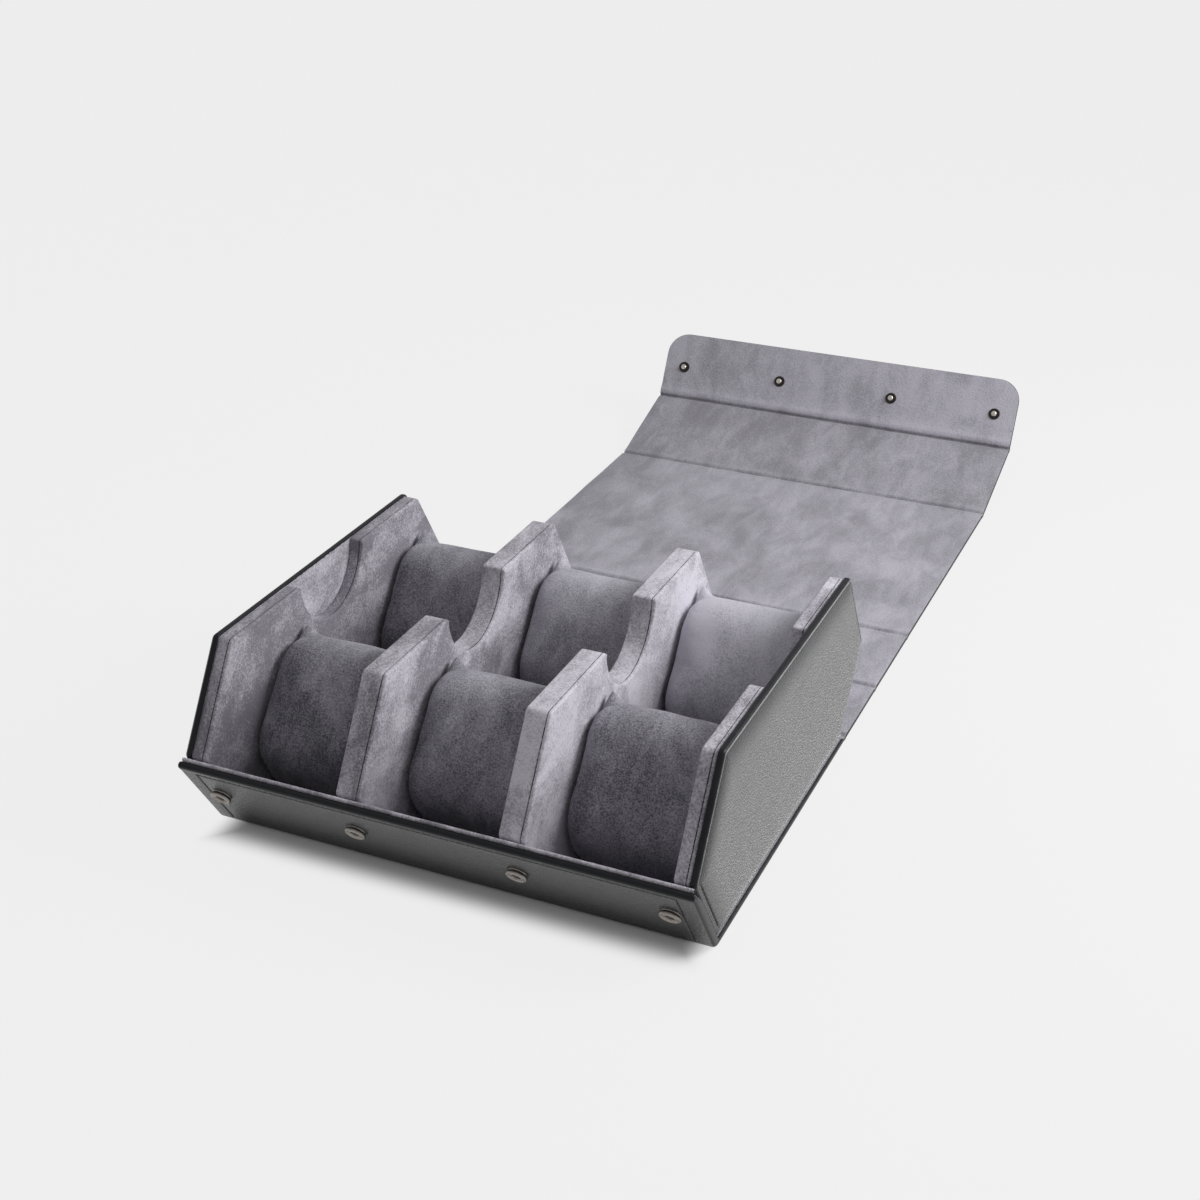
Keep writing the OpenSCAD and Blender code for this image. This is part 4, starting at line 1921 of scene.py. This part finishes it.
@dataclass
class FrontLip:
    """The lip's padded suede and the stitches on its leather."""

    finishes: Finishes
    start: float = 3.6 * MM
    pad: float = 1.6 * MM

    def build(self) -> None:
        """Builds the suede, then the three rows of stitches."""
        self.lining()
        half = SHAPE.half_w - SHAPE.row_in
        face = SHAPE.lip_out - 0.26 * MM
        high = SHAPE.lip_point(face, SHAPE.lip_l - SHAPE.row_down)
        low = SHAPE.lip_point(face, SHAPE.row_foot)
        aside = Vector((half, 0, 0))
        rows = [("top", high + Vector((-half, 0, 0)), high + aside)]
        rows += [(side.word, high + side.value * aside, low + side.value * aside) for side in Side]
        for word, start, end in rows:
            StitchRun(f"lip_{word}_stitches", start, end, SHAPE.outward).sew(self.finishes.thread, "tray")

    def section(self) -> tuple[Array, Array]:
        """The suede's section, up the lip, round its padded top and down inside.

        Returns:
            Distances up the lip and out of the lip's inner line.
        """
        gap, pad = SHAPE.lip_gap, self.pad
        high, r = SHAPE.lip_l + 0.25 * MM, pad * 0.62
        ups = list(np.linspace(self.start, high - r, 16))
        outs = [gap] * len(ups)
        for t in np.linspace(0, math.pi, 8)[1:]:
            ups.append(high - r + r * math.sin(t))
            outs.append(gap + pad / 2 - pad / 2 * math.cos(t))
        return np.array(ups + [high - 4 * MM]), np.array(outs + [gap + pad])

    def lining(self) -> None:
        """The padded suede inside the lip, with its soft upper edge."""
        half = SHAPE.half_w - 1.2 * MM
        xs = np.linspace(-half, half, 121)
        ups, outs = self.section()
        high = SHAPE.lip_l + 0.25 * MM

        def place(column: Array, row: Array) -> Array:
            """Lays the suede over the pad.

            Args:
                column: each point's column.
                row: each point's place in the section.

            Returns:
                The points' places.
            """
            x, up, out = xs[column], ups[row].copy(), outs[row].copy()
            fuzz = smooth((up - high + 3 * MM) / (2 * MM))
            up += fuzz * (ripple(x, up * 0.5, 8, 5 * MM, 8) * 0.12 * MM)
            out -= ripple(x, up, 9, 26 * MM) * 0.12 * MM * (row < len(ups) - 9)
            return np.column_stack([x, *SHAPE.lip_places(out, up)])

        piece = Workpiece.cloth("lip_suede", len(xs) - 1, len(ups) - 1, place).capped()
        with piece.editing(Pick.EDGES) as mesh:
            if piece.choose(mesh.edges, lambda e: e.is_boundary):
                bpy.ops.mesh.edge_face_add()
        piece.turned_out().softened(50).dressed(self.finishes.suede, "suede").rides("tray", "lip_lining")


# Snap flap


@dataclass
class SnapFlap:
    """The stiff part of the flap past its fold: a leather plate with round corners under a suede sheet."""

    finishes: Finishes
    corner_r: float = 14 * MM
    edge: float = 0.2 * MM
    start: float = 12 * MM

    def laid(self, piece: Workpiece) -> Workpiece:
        """Turns a piece drawn flat from the fold into the flap's rest place.

        Args:
            piece: the flat piece.

        Returns:
            The piece in its place.
        """
        co = piece.points()
        y, z = SHAPE.laid_out(SHAPE.folds[4] + co[:, 1], co[:, 2])
        return piece.move_points(np.column_stack([co[:, 0], y, z]))

    def is_corner(self, edge: bmesh.types.BMEdge) -> bool:
        """Whether an edge stands upright at the flap's end."""
        one, other = (v.co for v in edge.verts)
        return abs(one.z - other.z) > 1 * MM and one.y > SHAPE.flap_l - 1e-6

    def is_rim(self, edge: bmesh.types.BMEdge, level: float) -> bool:
        """Whether an edge lies at a level of the plate, past its start.

        Args:
            edge: the edge.
            level: the height.

        Returns:
            True for such an edge.
        """
        one, other = (v.co for v in edge.verts)
        flat = all(abs(c.z - level) < 1e-7 for c in (one, other))
        return flat and max(one.y, other.y) > self.start + 1e-6

    def build(self) -> None:
        """Builds the leather and the suede."""
        low, high = -SHAPE.leather, SHAPE.board + 0.02 * MM
        half, end = SHAPE.half_w, SHAPE.flap_l
        piece = Workpiece.block("flap_leather_skin", (-half, self.start, low), (half, end, high))
        piece.round_edges(self.is_corner, self.corner_r, 14)
        for level, width, steps in ((low, 1.3 * MM, 5), (high, 0.3 * MM, 3)):
            piece.round_edges(lambda e: self.is_rim(e, level), width, steps)
        piece.paint("rim", (piece.points()[:, 2] > low + 0.8 * MM) * 1.0)
        self.laid(piece).softened(35).dressed(self.finishes.leather, "leather").edged(self.finishes.turned)
        piece.rides("snap_flap", "flap_leather")
        self.lining()

    def lining(self) -> None:
        """The suede sheet of the flap, laid as a net that follows the round corners."""
        half, end, r = SHAPE.half_w - self.edge, SHAPE.flap_l - self.edge, self.corner_r - self.edge
        left = np.linspace(-half, -half + r, 13)[:-1]
        right = np.linspace(half - r, half, 13)[1:]
        xs = np.concatenate([left, np.linspace(-half + r, half - r, 80), right])
        ys = np.concatenate([np.linspace(self.start, end - r, 12)[:-1], np.linspace(end - r, end, 13)])

        def place(column: Array, row: Array) -> Array:
            """Lays the net flat, with its corners rounded.

            Args:
                column: each point's column.
                row: each point's row.

            Returns:
                The points' places.
            """
            x, y = xs[column], ys[row]
            u = np.clip((np.abs(x) - half + r) / r, 0, 1)
            v = np.clip((y - end + r) / r, 0, 1)
            corner = (u > 0) & (v > 0)
            cx = half - r + r * u * np.sqrt(1 - v * v / 2)
            cy = end - r + r * v * np.sqrt(1 - u * u / 2)
            x = np.where(corner, np.sign(x) * cx, x)
            y = np.where(corner, cy, y)
            waves = ripple(x, y, 17, 26 * MM) * 0.14 * MM * smooth((y - self.start) / (7 * MM))
            return np.column_stack([x, y, SHAPE.board + SHAPE.lining + waves])

        piece = Workpiece.cloth("flap_suede", len(xs) - 1, len(ys) - 1, place)
        co = piece.points()
        # Painted light and shade for the flap's suede, which is painted lighter where it faces the light.
        piece.paint("nap", SHAPE.lid_nap(co[:, 0], SHAPE.folds[4] + co[:, 1]))
        piece.finish_with("SOLIDIFY", thickness=SHAPE.lining, offset=-1.0)
        self.laid(piece).turned_out().softened().dressed(self.finishes.lid_suede, "suede")
        piece.rides("snap_flap", "flap_lining")


# Snaps


@dataclass
class Snaps:
    """Four press snaps: sockets on the lip, studs and caps on the flap.

    The sections are outlines of (radius, height) in millimetres, from the bottom of the axis to its top.
    """

    finishes: Finishes
    places: tuple[float, ...] = (-104 * MM, -SHAPE.inner_x, SHAPE.inner_x, 104 * MM)
    words: tuple[str, ...] = ("outer_left", "inner_left", "inner_right", "outer_right")
    stud_y: float = 21.2 * MM
    closed_fold: Pair = (-119.2723 * MM, 39.7355 * MM)
    socket: tuple[Pair, ...] = (
        (0, -0.2), (4.35, -0.2), (4.35, 0.05), (4.2, 0.3), (4.3, 0.62), (4.62, 0.85), (4.8, 1.25),
        (4.75, 1.7), (4.5, 2.06), (4.1, 2.2), (3.7, 2.14), (3.25, 1.86), (3.0, 1.82), (2.75, 2.0),
        (2.45, 2.05), (2.2, 1.9), (2.0, 1.5), (2.05, 0.8), (1.9, 0.45), (1.5, 0.3), (0, 0.3),
    )
    stud: tuple[Pair, ...] = (
        (0, -2.0), (1.15, -2.0), (1.15, -0.1), (3.2, -0.1), (3.45, 0.05), (3.5, 0.3), (3.4, 0.5),
        (3.1, 0.62), (2.5, 0.56), (1.95, 0.5), (1.62, 0.62), (1.5, 0.85), (1.52, 1.1), (1.7, 1.4),
        (1.72, 1.65), (1.6, 1.95), (1.3, 2.13), (0.7, 2.2), (0, 2.22),
    )
    cap: tuple[Pair, ...] = (
        (0, -0.1), (5.3, -0.1), (5.5, 0.1), (5.48, 0.35), (5.2, 0.62), (4.4, 0.95), (3.2, 1.2),
        (1.8, 1.34), (0, 1.4),
    )

    def turned_part(self, name: str, outline: Sequence[Pair]) -> Workpiece:
        """Turns an outline round Z.

        Args:
            name: the part's name.
            outline: the section.

        Returns:
            The turned part, standing at the origin.
        """
        clear_bench()
        bpy.ops.mesh.primitive_circle_add(vertices=len(outline), radius=1, fill_type="NOTHING")
        piece = Workpiece(name)
        piece.move_points(np.array([(r * MM, 0, z * MM) for r, z in outline]))
        with piece.editing(Pick.EDGES) as mesh:
            piece.choose(mesh.edges, lambda e: all(abs(v.co.x) < 1e-9 for v in e.verts))
            bpy.ops.mesh.delete(type="EDGE")
            bpy.ops.mesh.select_all(action="SELECT")
            bpy.ops.mesh.spin(steps=40, angle=2 * math.pi, center=(0, 0, 0), axis=(0, 0, 1))
            bpy.ops.mesh.select_all(action="SELECT")
            bpy.ops.mesh.remove_doubles(threshold=1e-6)
        return piece.turned_out().softened(40)

    def set_in(self, model: Workpiece, middle: Vector, up: Vector, body: str, node: str) -> None:
        """Copies a part into its four places and removes the model.

        Args:
            model: the part at the origin, whose name starts the copies' names.
            middle: the row's middle, on the plane X = 0.
            up: the direction that the part's local Z gets.
            body: the body that the copies ride on.
            node: the frame's solids that they stand for.
        """
        kind = model.obj.name
        turn = up.to_track_quat("Z", "Y").to_matrix().to_4x4()
        for x, word in zip(self.places, self.words):
            obj = model.obj.copy()
            obj.data = model.obj.data.copy()
            bpy.context.scene.collection.objects.link(obj)
            turn.translation = Vector((x, middle.y, middle.z))
            obj.matrix_world = turn
            copied = Workpiece(f"{kind}_{word}", obj).settled()
            copied.dressed(self.finishes.nickel, "nickel").rides(body, node)
        bpy.data.objects.remove(model.obj)

    def on_flap(self, height: float) -> Vector:
        """A point of the studs' row at a height above the flap's inner leather face."""
        y, z = SHAPE.laid_out(np.array([SHAPE.folds[4] + self.stud_y]), np.array([height]))
        return Vector((0, float(y[0]), float(z[0])))

    def build(self) -> None:
        """Builds the three kinds of part in their places."""
        fold = Vector((0, *self.closed_fold))
        socket_up = (fold - SHAPE.lip_point(0, 0)).dot(SHAPE.upward) - self.stud_y
        on_lip = SHAPE.lip_point(SHAPE.lip_out, socket_up)
        socket = self.turned_part("socket", self.socket)
        self.set_in(socket, on_lip, SHAPE.outward, "tray", "snap_sockets")
        inside = Vector((0, -math.sin(SHAPE.flap_rest), math.cos(SHAPE.flap_rest)))
        stud = self.turned_part("stud", self.stud)
        height = stud.points()[:, 2]
        # Painted shadow on the flange and a painted highlight on the dome.
        stud.paint("rim", 1 - smooth((height - 0.75 * MM) / (0.4 * MM)))
        stud.paint("wear", smooth((height - 1.3 * MM) / (0.5 * MM)))
        self.set_in(stud, self.on_flap(SHAPE.board + SHAPE.lining), inside, "snap_flap", "snap_studs")
        cap = self.turned_part("cap", self.cap)
        self.set_in(cap, self.on_flap(-SHAPE.leather), -inside, "snap_flap", "snap_caps")


# Cushions


@dataclass
class Cushion:
    """One stuffed suede cushion, swelled by cloth simulation from its solid."""

    name: str
    seed: int
    finishes: Finishes
    # Painted light: the whole cushion lighter or darker for how much light reaches it, and lighter towards
    # its top, darker towards its bottom, where shade falls.
    nap: float = 0.0
    nap_rise: float = 0.42
    shrink: float = 1.1 * MM
    voxel: float = 2.0 * MM
    pressure: float = 4.0
    most: float = 1.8 * MM
    frames: int = 16
    ear_a: float = math.radians(55)

    def build(self, solid: bpy.types.Object) -> None:
        """Builds the cushion.

        Args:
            solid: the frame's solid, whose space the cushion keeps to.
        """
        piece = Workpiece.copy_of(f"{self.name}_suede", solid)
        start = piece.points()
        low, high = start.min(0), start.max(0)
        centre = (low + high) / 2
        share = 1 - 2 * self.shrink / (high - low)
        piece.move_points(centre + (start - centre) * share)
        piece.finish_with("REMESH", mode="VOXEL", voxel_size=self.voxel, adaptivity=0)
        piece.finish_with("SMOOTH", factor=0.5, iterations=1)
        self.swell(piece)
        co = piece.points()
        local = co - centre
        co += self.wrinkles(piece, local)
        co += self.ears(local, start - centre)
        co[:, 0] = np.clip(co[:, 0], low[0] + 0.05 * MM, high[0] - 0.05 * MM)
        co[:, 2] = np.maximum(co[:, 2], low[2] - 0.15 * MM)
        piece.move_points(co)
        piece.finish_with("SUBSURF", levels=1, render_levels=1)
        # Paints the cushion lighter towards its top and darker towards its bottom, as painted light and
        # shade.
        rise = (piece.points()[:, 2] - centre[2]) / (high[2] - low[2])
        piece.paint("nap", self.nap + self.nap_rise * rise)
        piece.softened(180).dressed(self.finishes.cushion, "cushion_suede")
        piece.rides(f"{self.name}_body", self.name)

    def wrinkles(self, piece: Workpiece, local: Array) -> Array:
        """The cover's soft unevenness, with finer creases near its ends.

        Args:
            piece: the cushion.
            local: its points' places from its middle.

        Returns:
            How far each point moves.
        """
        x, y, z = local.T
        soft = ripple(x + z, y - z, self.seed, 24 * MM, 7)
        creases = ripple(x * 0.5, y + z, self.seed + 40, 11 * MM, 6)
        near_end = smooth((np.abs(x) - 22 * MM) / (8 * MM))
        move = soft * 0.28 * MM + creases * 0.16 * MM * near_end
        return read(piece.obj.data, "normal") * move[:, None]

    def ears(self, local: Array, solid: Array) -> Array:
        """Pulls the back corners' fabric ears out to where the solid's ears reach.

        Args:
            local: the points' places from the cushion's middle.
            solid: the solid's points, from there too.

        Returns:
            How far each point moves.
        """
        ear = np.array([0, math.cos(self.ear_a), math.sin(self.ear_a)])
        reach = local @ ear
        body = reach[np.abs(local[:, 0]) < 10 * MM].max()
        pull = ((solid @ ear).max() - body) / (reach.max() - body) - 1
        return pull * np.maximum(reach - body, 0)[:, None] * ear

    def swell(self, piece: Workpiece) -> None:
        """Blows the cover up from inside, lets no point go too far, and keeps the result.

        Args:
            piece: the cushion.
        """
        obj, scene = piece.obj, bpy.context.scene
        before = piece.points()
        cloth = obj.modifiers.new("Fill", "CLOTH")
        cloth.settings.use_pressure = True
        cloth.settings.uniform_pressure_force = self.pressure
        cloth.settings.effector_weights.gravity = 0
        cloth.settings.quality = 4
        cloth.settings.mass = 0.25
        cloth.collision_settings.use_collision = False
        cloth.point_cache.frame_start, cloth.point_cache.frame_end = 1, self.frames
        for number in range(1, self.frames + 1):
            scene.frame_set(number)
        graph = bpy.context.evaluated_depsgraph_get()
        step = read(obj.evaluated_get(graph).data, "co") - before
        length = np.linalg.norm(step, axis=1, keepdims=True)
        capped = step * np.minimum(1, self.most / np.maximum(length, 1e-9))
        obj.modifiers.remove(cloth)
        scene.frame_set(1)
        piece.move_points(before + capped)


# Studio


@dataclass
class Studio:
    """The pale floor, the soft light and the camera."""

    place: tuple[float, float, float] = (0.31527, -0.65662, 0.4639)
    right: tuple[float, float, float] = (0.91548, 0.40235, 0.00328)
    up: tuple[float, float, float] = (-0.18551, 0.41484, 0.89078)
    lens: float = 55.8
    paper: Colour = (0.871, 0.871, 0.871)
    bounce: Colour = (0.2, 0.2, 0.2)
    floor_size: float = 16.0
    floor_drop: float = 0.2 * MM
    half_foot: float = 0.1
    side_reach: float = 0.022
    front_foot: float = -0.087
    front_reach: float = 0.025
    back_reach: float = 0.05
    plain_share: float = 0.95
    lamp_place: tuple[float, float, float] = (0.62, 0.28, 0.5)
    lamp_goal: tuple[float, float, float] = (0.03, 0.06, 0.03)
    lamp_size: float = 0.5
    lamp_power: float = 6.2
    world_light: float = 0.48

    def build(self) -> None:
        """Sets up the camera, the floor, the world, the lamp and the view."""
        self.camera()
        self.floor()
        self.world()
        self.lamp()
        bpy.context.scene.view_settings.view_transform = "Standard"

    def camera(self) -> None:
        """A camera at the photograph's viewing angle."""
        data = bpy.data.cameras.new("Camera")
        data.lens, data.sensor_width = self.lens, 36
        data.clip_start, data.clip_end = 0.01, 100
        camera = bpy.data.objects.new("Camera", data)
        bpy.context.scene.collection.objects.link(camera)
        right, up = Vector(self.right).normalized(), Vector(self.up).normalized()
        back = right.cross(up).normalized()
        turn = Matrix((right, back.cross(right), back)).transposed().to_4x4()
        turn.translation = Vector(self.place)
        camera.matrix_world = turn
        bpy.context.scene.camera = camera

    def floor(self) -> None:
        """A wide pale floor, plain to the eye and with the case's shadow."""
        clear_bench()
        bpy.ops.mesh.primitive_grid_add(
            x_subdivisions=8, y_subdivisions=8, size=self.floor_size, location=(0, 0, -self.floor_drop)
        )
        piece = Workpiece("floor").settled()
        piece.obj.data.materials.append(self.floor_paper())

    def floor_paper(self) -> Material:
        """The floor's paper, which glows evenly to the eye away from the case's foot.

        Returns:
            The material.
        """
        w = Wiring("Pale floor paper")
        rays = w.node("ShaderNodeLightPath").outputs
        colour = w.mixed(w.noise(900, detail=3, rough=0.6), tone(self.paper, 0.99), tone(self.paper))
        # Rays other than the camera's see a dark floor, a painted shade: it throws less light back on the
        # case, and near the case's foot the leather reflects it dark.
        colour = w.mixed(rays["Is Camera Ray"], tone(self.bounce), colour)
        w.surface(Base_Color=colour, Roughness=0.9, Specular_IOR_Level=0.05)
        place = w.node("ShaderNodeSeparateXYZ", Vector=w.coordinates).outputs
        aside = w.between(w.sums("ABSOLUTE", place["X"]), self.half_foot, self.half_foot + self.side_reach)
        ahead = w.between(place["Y"], self.front_foot - self.front_reach, self.front_foot, 1, 0)
        plain = w.larger(w.larger(aside, ahead), w.between(place["Y"], 0.0, self.back_reach))
        plain = w.between(plain, 0, 1, 0.0, self.plain_share)
        seen = w.larger(rays["Is Camera Ray"], w.larger(rays["Is Glossy Ray"], rays["Is Transmission Ray"]))
        glow = w.node("ShaderNodeEmission", Color=tone(self.paper), Strength=1.0)
        both = w.node("ShaderNodeMixShader", Fac=w.times(plain, seen))
        w.feed(both.inputs[1], w.shader.outputs[0])
        w.feed(both.inputs[2], glow.outputs[0])
        w.feed(w.output.inputs["Surface"], both.outputs[0])
        return w.material

    def world(self) -> None:
        """An even world, which is of the floor's tone to the eye."""
        world = bpy.data.worlds.new("Studio")
        bpy.context.scene.world = world
        world.use_nodes = True
        tree = world.node_tree
        light = tree.nodes["Background"]
        light.inputs["Color"].default_value = (1, 1, 1, 1)
        light.inputs["Strength"].default_value = self.world_light
        backdrop = tree.nodes.new("ShaderNodeBackground")
        backdrop.inputs["Color"].default_value = tone(self.paper)
        both = tree.nodes.new("ShaderNodeMixShader")
        rays = tree.nodes.new("ShaderNodeLightPath")
        tree.links.new(rays.outputs["Is Camera Ray"], both.inputs[0])
        tree.links.new(light.outputs[0], both.inputs[1])
        tree.links.new(backdrop.outputs[0], both.inputs[2])
        tree.links.new(both.outputs[0], tree.nodes["World Output"].inputs["Surface"])

    def lamp(self) -> None:
        """One wide soft light from behind on the right."""
        data = bpy.data.lights.new("Soft light", "AREA")
        data.shape, data.size, data.energy = "DISK", self.lamp_size, self.lamp_power
        lamp = bpy.data.objects.new("Soft light", data)
        bpy.context.scene.collection.objects.link(lamp)
        lamp.location = self.lamp_place
        ray = Vector(self.lamp_goal) - Vector(lamp.location)
        lamp.rotation_euler = ray.to_track_quat("-Z", "Y").to_euler()


# The whole case


def dress_frame(nodes: dict[str, bpy.types.Object], finishes: Finishes) -> None:
    """Gives every solid of the frame the finish of what it is made of.

    Args:
        nodes: the solids by name.
        finishes: the materials.
    """
    for name, obj in nodes.items():
        if name.endswith(("_board", "_core")):
            material = finishes.board
        elif name.endswith("_leather"):
            material = finishes.leather
        elif name.startswith("cushion"):
            material = finishes.cushion
        elif name.endswith(("_lining", "_cover")):
            material = finishes.suede
        else:
            material = finishes.nickel
        obj.data.materials.clear()
        obj.data.materials.append(material)


def main() -> None:
    """Builds the case round its frame, piece by piece."""
    logging.basicConfig(level=logging.INFO, format="%(name)s: %(message)s")
    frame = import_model()
    finishes = Finishes()
    dress_frame(frame["nodes"], finishes)
    Studio().build()
    Wrap(finishes).build()
    FrontLip(finishes).build()
    for side in Side:
        EndPanel(side, finishes).build()
    # The last column is each wall's painted light or shade, for how much light from the right reaches it.
    for name, x, thickness, nap in (
        ("left_end_divider", -110 * MM, 7 * MM, -0.38),
        ("left_divider", -SHAPE.inner_x, 11.5 * MM, -0.12),
        ("right_divider", SHAPE.inner_x, 11.5 * MM, 0.28),
        ("right_end_divider", 110 * MM, 7 * MM, 0.0),
    ):
        Divider(name, x, thickness, finishes, nap).build()
    SnapFlap(finishes).build()
    Snaps(finishes).build()
    # Painted light: the back right cushion lighter, where more light reaches it; the back middle one plain;
    # the others darker, where shade falls.
    painted_lights = {"cushion_back_right": 0.34, "cushion_back_middle": 0.0}
    for number, name in enumerate(n for n in frame["nodes"] if n.startswith("cushion")):
        Cushion(name, 60 + number, finishes, painted_lights.get(name, -0.28)).build(frame["nodes"][name])
    clear_bench()


if __name__ == "__main__":
    main()
